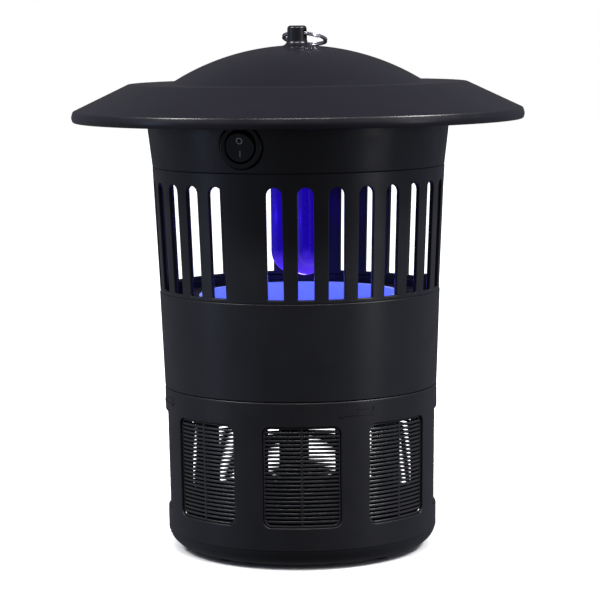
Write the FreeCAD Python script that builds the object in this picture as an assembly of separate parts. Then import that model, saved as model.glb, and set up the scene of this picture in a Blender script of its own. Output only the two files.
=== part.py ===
import FreeCAD, Part
import math
import os

# Fan-suction UV insect trap. Millimetres, +Z up, origin under the centre of the feet.
# The front of the object faces -Y. An azimuth is measured from the front towards +X.
V = FreeCAD.Vector
UP = V(0, 0, 1)
os.makedirs("parts", exist_ok=True)

# ---- driving dimensions -------------------------------------------------------------
WALL = 2.4                    # moulded wall thickness
RUNNING_FIT = 0.05            # radial clearance of a turning fit
PRESS_FIT = 0.02              # radial clearance of a pushed-on fit
SCREW_R = 1.5
SCREW_TAP_R = 1.52            # hole that a screw bites into
SCREW_CLEAR_R = 1.7
SMALL_SCREW_R = 1.25
SMALL_TAP_R = 1.27
LEAD_HOLE_R = 3.2
BASE_Z = 2.0                  # underside of the basket base
BASKET_SPLIT_Z = 11.0         # parting line between basket shell and base
BASKET_LOW_R = 73.4           # basket outside radius at the parting line
BASKET_TOP_R = 74.3           # basket outside radius at the top
BASKET_TOP_Z = 89.7
HOUSING_LOW_Z = 90.0
HOUSING_LOW_R = 74.3
HOUSING_TOP_Z = 141.3
HOUSING_TOP_R = 76.3
CAGE_LOW_R = 76.0
CAGE_TOP_Z = 209.0
CAGE_TOP_R = 79.2
COLLAR_FLARE_Z = 228.0
COLLAR_FLARE_R = 81.4
ROOF_UNDER_Z = 250.9          # underside of the flat terrace
ROOF_TERRACE_Z = 253.4
DOME_TOP_Z = 273.5
DOME_SPHERE_R = 128.3
KNOB_R = 5.2
KNOB_TOP_Z = 284.0
BRIM_R = 122.5

SLOT_PITCH_DEG = 12.0
SLOT_FIRST_DEG = 2.5
SLOT_COUNT = 30
SLOT_SOLID = 28               # this position stays solid, below the switch
SLOT_W = 8.3
SLOT_LOW_Z = 143.5
SLOT_TOP_Z = 201.7
BARS_TOP_Z = SLOT_TOP_Z - SLOT_W / 2      # the slots' round ends start here

SWITCH_DEG = -21.5
SWITCH_Z = 223.0
SWITCH_FACE = 81.2            # distance of the bezel face from the axis
BEZEL_R = 11.6
SWITCH_BODY_R = 9.7
ROCKER_R = 8.2
ROCKER_BORE_R = 8.4
ROCKER_DEPTH = 2.2            # pivot depth behind the bezel face
ROCKER_SWING_DEG = 18.0
PIVOT_R = 1.0

WINDOW_COUNT = 8
WINDOW_W = 41.0
WINDOW_LOW_Z = 23.4
WINDOW_TOP_Z = 76.7
BAR_PITCH = 2.15
BAR_GAP = 0.95
BAR_INSET = 1.2               # bars stand this far behind the outside face
WIDE_RIB_DEG = 13.4           # middle rib of the three rear windows

FUNNEL_TOP_R = 52.0
FUNNEL_TOP_Z = 139.2
DUCT_R = 46.4
DUCT_TOP_Z = 124.2
DUCT_LOW_Z = 98.0
SHELF_Z = 138.0
SHELF_T = 2.2
FAN_R = 44.8
FAN_LOW_Z = 101.5
FAN_TOP_Z = 118.0
HUB_R = 15.0
SHAFT_R = 1.5
MOTOR_R = 12.5
MOTOR_LOW_Z = 73.0
BRACKET_T = 3.0
MOTOR_TOP_Z = DUCT_LOW_Z - BRACKET_T

TUBE_R = 5.0
TUBE_CIRCLE_R = 10.8
TUBE_TURN_DEG = 16.0
TUBE_LOW_Z = 149.5
LAMP_BASE_Z = 203.0
LAMP_BASE_R = 17.0

RING_R = 11.5
RING_WIRE_R = 0.95
RING_SHIFT = 0.4              # the ring hangs this far off the knob's centre, along its hole
RING_LEAN_DEG = 16.0          # how far below level the ring lies behind the knob
RING_HOLE_R = 2.6
RING_HOLE_Z = 279.8

DECK_T = 2.5
DECK_TOP_Z = CAGE_TOP_Z + DECK_T
ROOF_BOSS_R = 66.0
ROOF_COLUMN_R = 4.2
ROOF_BOSS_DEGS = (75.0, 135.0, 225.0, 315.0)
LUG_DEGS = (92.5, 200.5, 284.5)       # behind bars, away from the roof screws
LUG_R = 69.0
CONDUIT_R = 67.4              # middle of the wire conduit from the axis
LEAD_R = 1.6
BOARD_Z = 217.0
BOARD_T = 1.6
BOARD_TOP = BOARD_Z + BOARD_T
BOARD_HOLES = ((-28, 34), (28, 34), (-28, 54), (28, 54))
LEAD_HEAD_R = 57.0            # where the fan lead passes the deck
GLAND_BORE_R = 3.2
GLAND_NECK_R = 5.0
HOLDER_CUP_R = 20.5
HOLDER_SCREW_X = 24.0
BAYONET_DEGS = (60.0, 180.0, 300.0)
LEDGE_HALF_DEG = 10.0         # housing ledges
LOCK_HALF_DEG = 8.0           # basket lugs, clear of the ledges after 20 degrees
NECK_R = 68.2                 # basket neck outside radius
BRACKET_DEGS = (30.0, 150.0, 270.0)
BRACKET_SCREW_R = 51.5
MOTOR_SCREW_X = 8.0
BLADE_COUNT = 5
FEET_R = 57.0
FEET_DEGS = (45.0, 135.0, 225.0, 315.0)


# ---- helpers ------------------------------------------------------------------------
def at(deg, r, z=0.0):
    """Point at an azimuth, radius and height."""
    a = math.radians(deg)
    return V(r * math.sin(a), -r * math.cos(a), z)


def turned(shape, deg):
    """Copy turned to an azimuth. The unturned copy faces the front."""
    copy = shape.copy()
    copy.rotate(V(0, 0, 0), UP, deg)
    return copy


def revolved(points, angle=360.0):
    """Solid of revolution of a closed (radius, height) outline, centred on the front."""
    corners = [at(-angle / 2, r, z) for r, z in points]
    face = Part.Face(Part.makePolygon(corners + [corners[0]]))
    return face.revolve(V(0, 0, 0), UP, angle)


def revolved_edges(edges):
    face = Part.Face(Part.Wire(Part.__sortEdges__(edges)))
    return face.revolve(V(0, 0, 0), UP, 360)


def line(a, b):
    return Part.LineSegment(V(a[0], 0, a[1]), V(b[0], 0, b[1])).toShape()


def arc(a, b, c):
    return Part.Arc(V(a[0], 0, a[1]), V(b[0], 0, b[1]), V(c[0], 0, c[1])).toShape()


def tube(r_in, r_out, z0, z1):
    outer = Part.makeCylinder(r_out, z1 - z0, V(0, 0, z0))
    return outer.cut(Part.makeCylinder(r_in, z1 - z0, V(0, 0, z0)))


def box(x0, x1, y0, y1, z0, z1):
    return Part.makeBox(x1 - x0, y1 - y0, z1 - z0, V(x0, y0, z0))


def fused(shapes):
    return shapes[0].multiFuse(shapes[1:]).removeSplitter()


def screw(head_at, direction, shank_r, length, head_r, head_h):
    """Pan-head screw whose shank runs along direction from under its head."""
    shank = Part.makeCylinder(shank_r, length, head_at, direction)
    head = Part.makeCylinder(head_r, head_h, head_at, direction * -1)
    slot_at = head_at - direction * head_h
    recess = Part.makeCylinder(head_r * 0.35, head_h * 0.5, slot_at, direction)
    return fused([shank, head]).cut(recess)


def wire_tube(points, r):
    """Round cable through points, with each corner rounded by a tangent arc."""
    edges = []
    start = points[0]
    for before, corner, after in zip(points, points[1:], points[2:]):
        d1 = (corner - before).normalize()
        d2 = (after - corner).normalize()
        turn = d1.getAngle(d2)
        reach = 0.45 * min((corner - before).Length, (after - corner).Length)
        bend_r = reach / math.tan(turn / 2)
        a = corner - d1 * reach
        b = corner + d2 * reach
        inward = (d2 - d1).normalize()
        mid = corner + inward * (bend_r / math.cos(turn / 2) - bend_r)
        edges.append(Part.LineSegment(start, a).toShape())
        edges.append(Part.Arc(a, mid, b).toShape())
        start = b
    edges.append(Part.LineSegment(start, points[-1]).toShape())
    path = Part.Wire(edges)
    ring = Part.Wire(Part.Circle(points[0], points[1] - points[0], r).toShape())
    return path.makePipeShell([ring], True, False)


def save(name, shape):
    shape.exportStep("parts/" + name + ".step")


# ---- roof ---------------------------------------------------------------------------
def dome_height(r, sphere_r=DOME_SPHERE_R):
    return DOME_TOP_Z - DOME_SPHERE_R + math.sqrt(sphere_r ** 2 - r ** 2)


def roof_outside():
    """Solid under the roof's outside surface, down to the rim."""
    foot_r = math.sqrt(DOME_SPHERE_R ** 2 - (ROOF_TERRACE_Z - DOME_TOP_Z + DOME_SPHERE_R) ** 2)
    neck_r = 11.0
    mid_r = 42.0
    low_z = 233.4
    edges = [
        line((0, KNOB_TOP_Z), (KNOB_R - 1.8, KNOB_TOP_Z)),
        arc((KNOB_R - 1.8, KNOB_TOP_Z), (KNOB_R - 0.5, KNOB_TOP_Z - 0.6), (KNOB_R, KNOB_TOP_Z - 2.0)),
        line((KNOB_R, KNOB_TOP_Z - 2.0), (KNOB_R + 0.2, DOME_TOP_Z + 3.6)),
        arc((KNOB_R + 0.2, DOME_TOP_Z + 3.6), (KNOB_R + 1.6, DOME_TOP_Z + 0.9), (neck_r, dome_height(neck_r))),
        arc((neck_r, dome_height(neck_r)), (mid_r, dome_height(mid_r)), (foot_r, ROOF_TERRACE_Z)),
        line((foot_r, ROOF_TERRACE_Z), (90.4, ROOF_TERRACE_Z)),
        arc((90.4, ROOF_TERRACE_Z), (91.5, ROOF_TERRACE_Z - 0.2), (92.5, ROOF_TERRACE_Z - 0.6)),
        line((92.5, ROOF_TERRACE_Z - 0.6), (118.4, 240.6)),
        arc((118.4, 240.6), (121.4, 238.6), (BRIM_R, 235.8)),
        arc((BRIM_R, 235.8), (122.0, 234.2), (120.6, low_z)),
        line((120.6, low_z), (0, low_z)),
        line((0, low_z), (0, KNOB_TOP_Z)),
    ]
    return revolved_edges(edges)


def roof_hollow():
    """Solid of the space under the roof, open at the bottom."""
    inner_sphere_r = DOME_SPHERE_R - WALL
    drop = ROOF_UNDER_Z - DOME_TOP_Z + DOME_SPHERE_R
    foot_r = math.sqrt(inner_sphere_r ** 2 - drop ** 2)
    mid_r = 40.0
    top_z = DOME_TOP_Z - WALL
    edges = [
        arc((0, top_z), (mid_r, dome_height(mid_r, inner_sphere_r)), (foot_r, ROOF_UNDER_Z)),
        line((foot_r, ROOF_UNDER_Z), (90.8, ROOF_UNDER_Z)),
        line((90.8, ROOF_UNDER_Z), (116.6, 238.4)),
        arc((116.6, 238.4), (118.2, 237.0), (118.9, 235.0)),
        line((118.9, 235.0), (119.2, 233.0)),
        line((119.2, 233.0), (0, 233.0)),
        line((0, 233.0), (0, top_z)),
    ]
    return revolved_edges(edges)


def roof_columns(top_z):
    """Columns that stand on the deck and take the roof screws."""
    feet = [at(deg, ROOF_BOSS_R, DECK_TOP_Z) for deg in ROOF_BOSS_DEGS]
    return [Part.makeCylinder(ROOF_COLUMN_R, top_z - DECK_TOP_Z, foot) for foot in feet]


def make_roof_cover():
    shell = roof_outside().cut(roof_hollow().cut(Part.makeCompound(roof_columns(DOME_TOP_Z))))
    low_ends = roof_columns(240)
    locating_rib = tube(75.6, 78.2, 245.5, ROOF_UNDER_Z + 0.5)
    shape = fused([shell, locating_rib] + low_ends)
    for deg in ROOF_BOSS_DEGS:
        shape = shape.cut(Part.makeCylinder(SCREW_TAP_R, 26, at(deg, ROOF_BOSS_R, DECK_TOP_Z)))
    hole = Part.makeCylinder(RING_HOLE_R, 4 * KNOB_R, V(-2 * KNOB_R, 0, RING_HOLE_Z), V(1, 0, 0))
    return shape.cut(turned(hole, SWITCH_DEG))


def make_roof_screws():
    return Part.makeCompound([
        screw(at(deg, ROOF_BOSS_R, CAGE_TOP_Z), UP, SCREW_R, 18.0, 3.0, 2.0) for deg in ROOF_BOSS_DEGS])


# ---- collar housing -----------------------------------------------------------------
def make_collar_housing():
    flare_in = COLLAR_FLARE_R - WALL
    profile = [
        (0, CAGE_TOP_Z), (CAGE_TOP_R - 0.1, CAGE_TOP_Z), (COLLAR_FLARE_R, COLLAR_FLARE_Z),
        (COLLAR_FLARE_R, ROOF_UNDER_Z), (flare_in, ROOF_UNDER_Z), (flare_in, COLLAR_FLARE_Z),
        (CAGE_TOP_R - 2.3, DECK_TOP_Z), (0, DECK_TOP_Z)]
    direction = at(SWITCH_DEG, 1)
    seat = Part.makeCylinder(BEZEL_R + 2.0, 3.8, direction * 75.5 + UP * SWITCH_Z, direction)
    posts = [Part.makeCylinder(2.8, BOARD_Z - DECK_TOP_Z, V(x, y, DECK_TOP_Z)) for x, y in BOARD_HOLES]
    shape = fused([revolved(profile), seat] + posts)
    recess_start = direction * (SWITCH_FACE - 2.2) + UP * SWITCH_Z
    cuts = [
        Part.makeCylinder(BEZEL_R + 0.4, 20, recess_start, direction),
        Part.makeCylinder(SWITCH_BODY_R + 0.15, 30, direction * 60 + UP * SWITCH_Z, direction),
        Part.makeCylinder(GLAND_NECK_R + RUNNING_FIT, 20, V(0, 70, SWITCH_Z), V(0, 1, 0)),
        Part.makeCylinder(HOLDER_CUP_R + 0.3, 10, V(0, 0, 205)),
        Part.makeCylinder(LEAD_HOLE_R, 10, at(SWITCH_DEG, LEAD_HEAD_R, 205))]
    cuts += [Part.makeCylinder(SCREW_CLEAR_R, 10, at(deg, ROOF_BOSS_R, 205)) for deg in ROOF_BOSS_DEGS]
    cuts += [Part.makeCylinder(SMALL_TAP_R, 4.5, V(x, y, BOARD_Z - 4.5)) for x, y in BOARD_HOLES]
    cuts += [Part.makeCylinder(SMALL_TAP_R, 10, V(x, 0, 205)) for x in (-HOLDER_SCREW_X, HOLDER_SCREW_X)]
    cuts += [Part.makeCylinder(SCREW_TAP_R, 10, at(deg, LUG_R, 205)) for deg in LUG_DEGS]
    for cut in cuts:
        shape = shape.cut(cut)
    return shape


# ---- switch and cord gland ----------------------------------------------------------
def make_switch_body():
    back = SWITCH_FACE - 18.2
    seat = SWITCH_FACE - 2.2
    out = V(0, -1, 0)
    bezel = Part.makeCylinder(BEZEL_R, 2.2, V(0, -seat, SWITCH_Z), out)
    bezel = bezel.makeFillet(0.7, [e for e in bezel.Edges if e.BoundBox.YMax < -seat - 2.1])
    body = Part.makeCylinder(SWITCH_BODY_R, seat - back, V(0, -back, SWITCH_Z), out)
    bore_depth = ROCKER_DEPTH + ROCKER_BORE_R + 0.2
    bore = Part.makeCylinder(ROCKER_BORE_R, bore_depth + 1, V(0, -SWITCH_FACE + bore_depth, SWITCH_Z), out)
    pivot_at = V(-9.9, -SWITCH_FACE + ROCKER_DEPTH, SWITCH_Z)
    pivot = Part.makeCylinder(PIVOT_R + RUNNING_FIT, 19.8, pivot_at, V(1, 0, 0))
    shape = fused([bezel, body]).cut(bore).cut(pivot)
    return turned(shape, SWITCH_DEG)


def make_switch_rocker():
    """Ball-sided rocker: it turns inside the round bore without touching it."""
    pivot_y = -SWITCH_FACE + ROCKER_DEPTH
    face_out = 2.5
    tip_out = face_out + 9 * math.tan(math.radians(ROCKER_SWING_DEG))
    outline = [(-5.0, -9), (face_out, -9), (face_out, 0), (tip_out, 9), (-5.0, 9)]
    corners = [V(-9, pivot_y - w, SWITCH_Z + v) for w, v in outline]
    face = Part.Face(Part.makePolygon(corners + [corners[0]]))
    ball = Part.makeSphere(ROCKER_R, V(0, pivot_y, SWITCH_Z))
    pins = Part.makeCylinder(PIVOT_R, 18.4, V(-9.2, pivot_y, SWITCH_Z), V(1, 0, 0))
    return turned(ball.common(face.extrude(V(18, 0, 0))).fuse(pins), SWITCH_DEG)


def make_switch_terminals():
    back = SWITCH_FACE - 18.2
    blades = [box(x - 0.4, x + 0.4, -back, -back + 9, SWITCH_Z - 3, SWITCH_Z + 3) for x in (-4, 4)]
    return turned(Part.makeCompound(blades), SWITCH_DEG)


def make_cord_gland():
    outline = [
        (GLAND_BORE_R, 73.5), (6.6, 73.5), (6.6, 76.8), (GLAND_NECK_R, 76.8), (GLAND_NECK_R, 81.6),
        (7.2, 81.6), (7.2, 83.4), (6.4, 84.2), (GLAND_BORE_R, 84.2)]
    shape = revolved(outline)
    shape.rotate(V(0, 0, 0), V(1, 0, 0), -90)
    shape.translate(UP * SWITCH_Z)
    return shape


# ---- lamp ---------------------------------------------------------------------------
def make_lamp_holder():
    outline = [
        (0, 226), (HOLDER_CUP_R, 226), (HOLDER_CUP_R, 214), (27, 214), (27, DECK_TOP_Z),
        (HOLDER_CUP_R, DECK_TOP_Z), (HOLDER_CUP_R, 205.5), (LAMP_BASE_R + 0.3, 205.5),
        (LAMP_BASE_R + 0.3, 222.5), (0, 222.5)]
    shape = revolved(outline)
    for x in (-HOLDER_SCREW_X, HOLDER_SCREW_X):
        shape = shape.cut(Part.makeCylinder(1.4, 6, V(x, 0, 210)))
    return shape


def make_holder_screws():
    heads = [V(x, 0, 214) for x in (-HOLDER_SCREW_X, HOLDER_SCREW_X)]
    return Part.makeCompound([screw(head, UP * -1, SMALL_SCREW_R, 4.9, 2.4, 1.6) for head in heads])


def make_lamp_base():
    r = LAMP_BASE_R
    return revolved([(0, LAMP_BASE_Z), (r - 1.5, LAMP_BASE_Z), (r, LAMP_BASE_Z + 1.5), (r, 222.4), (0, 222.4)])


def make_lamp_tubes():
    """Two U-shaped tubes side by side. The bends point down."""
    tubes = []
    for first_deg in (-TUBE_TURN_DEG, 180 - TUBE_TURN_DEG):
        a = at(first_deg, TUBE_CIRCLE_R)
        b = at(first_deg + 90, TUBE_CIRCLE_R)
        middle = (a + b) * 0.5
        bend_r = (b - a).Length / 2
        bend_z = TUBE_LOW_Z + TUBE_R + bend_r
        top = UP * LAMP_BASE_Z
        low = UP * bend_z
        path = Part.Wire([
            Part.LineSegment(a + top, a + low).toShape(),
            Part.Arc(a + low, middle + UP * (bend_z - bend_r), b + low).toShape(),
            Part.LineSegment(b + low, b + top).toShape()])
        ring = Part.Wire(Part.Circle(a + top, UP, TUBE_R).toShape())
        tubes.append(path.makePipeShell([ring], True, False))
    return Part.makeCompound(tubes)


# ---- control board ------------------------------------------------------------------
def make_control_board():
    board = box(-32, 32, 30, 58, BOARD_Z, BOARD_TOP)
    for x, y in BOARD_HOLES:
        board = board.cut(Part.makeCylinder(1.6, 4, V(x, y, BOARD_Z - 1)))
    return board


def make_board_screws():
    heads = [V(x, y, BOARD_TOP) for x, y in BOARD_HOLES]
    return Part.makeCompound([screw(head, UP * -1, SMALL_SCREW_R, 5, 2.3, 1.6) for head in heads])


def make_choke_core():
    core = box(-8, 10, 42, 56, BOARD_TOP, BOARD_TOP + 14)
    for x in (-5, 3.5):
        core = core.cut(box(x, x + 3.5, 40, 58, BOARD_TOP + 3, BOARD_TOP + 11))
    return core


def make_choke_coil():
    coil = box(-4.8, 6.8, 40.2, 57.8, BOARD_TOP + 3.2, BOARD_TOP + 10.8)
    return coil.cut(box(-1.6, 3.6, 41.9, 56.1, BOARD_TOP, BOARD_TOP + 14))


def make_board_capacitor():
    can = Part.makeCylinder(5, 16, V(20, 50, BOARD_TOP))
    return can.makeFillet(0.8, [e for e in can.Edges if e.BoundBox.ZMin > BOARD_TOP + 15])


def make_terminal_block():
    block = box(-24, -10, 31, 43, BOARD_TOP, BOARD_TOP + 11.6)
    for x in (-20.5, -13.5):
        for y in (34, 40):
            block = block.cut(Part.makeCylinder(1.8, 3, V(x, y, BOARD_TOP + 9)))
    return block


def make_fan_transformer():
    body = box(11, 25, 31.5, 43, BOARD_TOP, BOARD_TOP + 12)
    return body.makeChamfer(0.8, body.Edges)


# ---- inlet cage and conduit ---------------------------------------------------------
# The cage is one moulding. It is divided at the ends of the slots into two rings and the bars
# between them, so that every bar is a simple solid.
def cage_wall(z0, z1):
    """Slotted wall of the cage between two heights."""
    outline = [
        (71.6, SHELF_Z), (73.4, SHELF_Z), (73.4, HOUSING_TOP_Z), (CAGE_LOW_R, HOUSING_TOP_Z),
        (CAGE_TOP_R, CAGE_TOP_Z), (CAGE_TOP_R - WALL, CAGE_TOP_Z), (73.69, 143.2), (71.6, 143.2)]
    half = SLOT_W / 2
    slot = box(-half, half, -90, -60, SLOT_LOW_Z, BARS_TOP_Z)
    slot = slot.fuse(Part.makeCylinder(half, 30, V(0, -90, BARS_TOP_Z), V(0, 1, 0)))
    slots = [
        turned(slot, SLOT_FIRST_DEG + SLOT_PITCH_DEG * i) for i in range(SLOT_COUNT) if i != SLOT_SOLID]
    wall = revolved(outline).common(Part.makeCylinder(90, z1 - z0, V(0, 0, z0)))
    return wall.cut(Part.makeCompound(slots))


def with_lugs(shape, lug, hole):
    """Adds the three screw lugs, and drills each of them."""
    for deg in LUG_DEGS:
        shape = shape.fuse(turned(lug, deg)).cut(turned(hole, deg))
    return shape


def make_cage_base_ring():
    lug = box(-3.5, 3.5, -73.6, -65.5, SHELF_Z, 148)
    hole = Part.makeCylinder(SCREW_TAP_R, 8, V(0, -LUG_R, SHELF_Z))
    return with_lugs(cage_wall(SHELF_Z, SLOT_LOW_Z), lug, hole)


def make_cage_bars():
    return Part.makeCompound(cage_wall(SLOT_LOW_Z, BARS_TOP_Z).Solids)


def make_cage_top_ring():
    lug = box(-3.5, 3.5, -77, -65.5, 202, CAGE_TOP_Z)
    hole = Part.makeCylinder(SCREW_CLEAR_R, 10, V(0, -LUG_R, 200))
    return with_lugs(cage_wall(BARS_TOP_Z, CAGE_TOP_Z), lug, hole)


def make_cage_top_screws():
    return Part.makeCompound([screw(at(deg, LUG_R, 202), UP, SCREW_R, 9.2, 2.8, 1.8) for deg in LUG_DEGS])


def make_cage_base_screws():
    low = SHELF_Z - SHELF_T
    return Part.makeCompound([screw(at(deg, LUG_R, low), UP, SCREW_R, 9.5, 2.8, 1.8) for deg in LUG_DEGS])


def make_wire_conduit():
    far = -CONDUIT_R - 3.5
    near = -CONDUIT_R + 3.5
    shape = box(-6, 6, far, near, SHELF_Z, CAGE_TOP_Z)
    shape = shape.cut(box(-4.8, 4.8, far + 1.2, near - 1.2, SHELF_Z, CAGE_TOP_Z))
    shape = shape.cut(box(-4.8, 4.8, near - 2, near + 1, 184, CAGE_TOP_Z))
    return turned(shape, SWITCH_DEG)


# ---- fan housing --------------------------------------------------------------------
def make_coated_funnel():
    return revolved([
        (FUNNEL_TOP_R, FUNNEL_TOP_Z), (54.8, FUNNEL_TOP_Z), (54.8, SHELF_Z), (53.5, SHELF_Z),
        (48.1, DUCT_TOP_Z + 0.2), (DUCT_R, DUCT_TOP_Z + 0.2)])


def make_fan_housing():
    shelf_low = SHELF_Z - SHELF_T
    outline = [
        (HOUSING_LOW_R, HOUSING_LOW_Z), (HOUSING_TOP_R, HOUSING_TOP_Z), (HOUSING_TOP_R - WALL, HOUSING_TOP_Z),
        (73.7, SHELF_Z), (53.7, SHELF_Z), (48.3, DUCT_TOP_Z), (DUCT_R, DUCT_TOP_Z), (DUCT_R, DUCT_LOW_Z),
        (DUCT_R + WALL, DUCT_LOW_Z), (DUCT_R + WALL, DUCT_TOP_Z - 1.4), (54.9, shelf_low),
        (73.6, shelf_low), (HOUSING_LOW_R - WALL, HOUSING_LOW_Z)]
    half = LEDGE_HALF_DEG
    ledge = revolved([(68.7, 92.0), (72.6, 92.0), (72.6, 94.6), (68.7, 94.6)], 2 * half)
    ledges = [turned(ledge, deg) for deg in BAYONET_DEGS]
    bosses = [Part.makeCylinder(3.4, 12, at(deg, BRACKET_SCREW_R, DUCT_LOW_Z)) for deg in BRACKET_DEGS]
    shape = revolved(outline).multiFuse(ledges + bosses)
    shape = shape.cut(Part.makeCylinder(DUCT_R, DUCT_TOP_Z - DUCT_LOW_Z, V(0, 0, DUCT_LOW_Z)))
    for deg in BRACKET_DEGS:
        shape = shape.cut(Part.makeCylinder(SMALL_TAP_R, 9, at(deg, BRACKET_SCREW_R, DUCT_LOW_Z)))
    for deg in LUG_DEGS:
        shape = shape.cut(Part.makeCylinder(SCREW_CLEAR_R, 8, at(deg, LUG_R, shelf_low - 2)))
    return shape.cut(Part.makeCylinder(LEAD_HOLE_R, 8, at(SWITCH_DEG, CONDUIT_R, shelf_low - 2)))


def make_motor_bracket():
    """Three-armed plate under the duct. Its thin rings keep fingers off the blades."""
    z0 = MOTOR_TOP_Z
    z1 = DUCT_LOW_Z
    pieces = [tube(44.5, 49.0, z0, z1), Part.makeCylinder(17, BRACKET_T, V(0, 0, z0))]
    pieces += [tube(r, r + 1.4, z0 + 0.5, z1 - 0.5) for r in (23.5, 30.5, 37.5)]
    pieces += [turned(box(-3, 3, -46, -15, z0, z1), deg) for deg in BRACKET_DEGS]
    pieces += [Part.makeCylinder(4.0, BRACKET_T, at(deg, BRACKET_SCREW_R, z0)) for deg in BRACKET_DEGS]
    shape = pieces[0].multiFuse(pieces[1:])
    for deg in BRACKET_DEGS:
        shape = shape.cut(Part.makeCylinder(1.5, 8, at(deg, BRACKET_SCREW_R, z0 - 2)))
    for x in (-MOTOR_SCREW_X, MOTOR_SCREW_X):
        shape = shape.cut(Part.makeCylinder(1.35, 8, V(x, 0, z0 - 2)))
    return shape.cut(Part.makeCylinder(3.2, 8, V(0, 0, z0 - 2))).removeSplitter()


def make_bracket_screws():
    heads = [at(deg, BRACKET_SCREW_R, MOTOR_TOP_Z) for deg in BRACKET_DEGS]
    return Part.makeCompound([screw(head, UP, SMALL_SCREW_R, 11, 2.6, 1.8) for head in heads])


# ---- fan ----------------------------------------------------------------------------
def make_fan_motor():
    can = Part.makeCylinder(MOTOR_R, MOTOR_TOP_Z - MOTOR_LOW_Z, V(0, 0, MOTOR_LOW_Z))
    can = can.makeFillet(1.2, [e for e in can.Edges if e.BoundBox.ZMax < MOTOR_LOW_Z + 0.1])
    boss = Part.makeCylinder(3.0, 1.6, V(0, 0, MOTOR_TOP_Z))
    shape = can.fuse(boss).cut(Part.makeCylinder(SHAFT_R + RUNNING_FIT, 30, V(0, 0, MOTOR_LOW_Z + 1.8)))
    for x in (-MOTOR_SCREW_X, MOTOR_SCREW_X):
        shape = shape.cut(Part.makeCylinder(SMALL_TAP_R, 4, V(x, 0, MOTOR_TOP_Z - 4)))
    return shape


def make_motor_screws():
    heads = [V(x, 0, DUCT_LOW_Z) for x in (-MOTOR_SCREW_X, MOTOR_SCREW_X)]
    return Part.makeCompound([screw(head, UP * -1, SMALL_SCREW_R, 5.5, 2.3, 1.6) for head in heads])


def make_motor_shaft():
    return Part.makeCylinder(SHAFT_R, 44.5, V(0, 0, MOTOR_LOW_Z + 2.0))


def blade_section(r, chord, pitch_deg, sweep_deg):
    """Closed thin outline of a blade, square to the radius."""
    pitch = math.radians(pitch_deg)
    half_t = 0.8
    middle = at(sweep_deg, r, (FAN_LOW_Z + FAN_TOP_Z) / 2)
    across = at(sweep_deg + 90, 1)
    run = across * math.cos(pitch) + UP * math.sin(pitch)
    rise = UP * math.cos(pitch) - across * math.sin(pitch)
    corners = [
        middle + run * (chord / 2 * s) + rise * (half_t * t) for s, t in ((-1, -1), (1, -1), (1, 1), (-1, 1))]
    return Part.makePolygon(corners + [corners[0]])


def make_fan_impeller():
    hub = revolved([
        (SHAFT_R + PRESS_FIT, FAN_LOW_Z), (4.0, FAN_LOW_Z), (4.0, FAN_TOP_Z - 3), (HUB_R - 1.6, FAN_TOP_Z - 3),
        (HUB_R - 1.6, FAN_LOW_Z), (HUB_R, FAN_LOW_Z), (HUB_R, FAN_TOP_Z - 1.5), (HUB_R - 1.5, FAN_TOP_Z),
        (SHAFT_R + PRESS_FIT, FAN_TOP_Z)])
    sections = [
        blade_section(HUB_R - 1.2, 18.0, 38.0, 0.0),
        blade_section(25.0, 24.0, 33.0, 4.0),
        blade_section(35.0, 30.0, 27.0, 8.0),
        blade_section(47.0, 34.0, 22.0, 12.0)]
    loft = Part.makeLoft(sections, True, False)
    blade = loft.common(tube(HUB_R - 0.8, FAN_R, FAN_LOW_Z, FAN_TOP_Z))
    pitch = 360 / BLADE_COUNT
    return fused([hub] + [turned(blade, pitch * i) for i in range(BLADE_COUNT)])


def make_hub_cap():
    return revolved([
        (0, FAN_TOP_Z + 2.4), (4.2, FAN_TOP_Z + 2.4), (5.0, FAN_TOP_Z + 1.6), (5.0, FAN_TOP_Z),
        (SHAFT_R + PRESS_FIT, FAN_TOP_Z), (SHAFT_R + PRESS_FIT, FAN_TOP_Z + 1.6), (0, FAN_TOP_Z + 1.6)])


# ---- hanging ring -------------------------------------------------------------------
def make_hanging_ring():
    """Ring that lies back over the dome, on the side away from the switch."""
    lean = math.radians(RING_LEAN_DEG)
    back = V(0, math.cos(lean), -math.sin(lean))
    edge = math.sqrt(RING_R ** 2 - (KNOB_R + RING_SHIFT) ** 2)
    reach = (RING_R + edge) / 2
    centre = V(RING_SHIFT, 0, RING_HOLE_Z) + back * reach
    shape = Part.makeTorus(RING_R, RING_WIRE_R)
    shape.rotate(V(0, 0, 0), V(1, 0, 0), -RING_LEAN_DEG)
    shape.translate(centre)
    return turned(shape, SWITCH_DEG)


# ---- catch basket -------------------------------------------------------------------
def window_prism(half_w, z0, z1, corner_r, y0, y1):
    """Rounded rectangle facing the front, between two distances from the axis."""
    prism = box(-half_w, half_w, -y1, -y0, z0, z1)
    depth_edges = [e for e in prism.Edges if e.BoundBox.XLength < 0.01 and e.BoundBox.ZLength < 0.01]
    return prism.makeFillet(corner_r, depth_edges)


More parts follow.
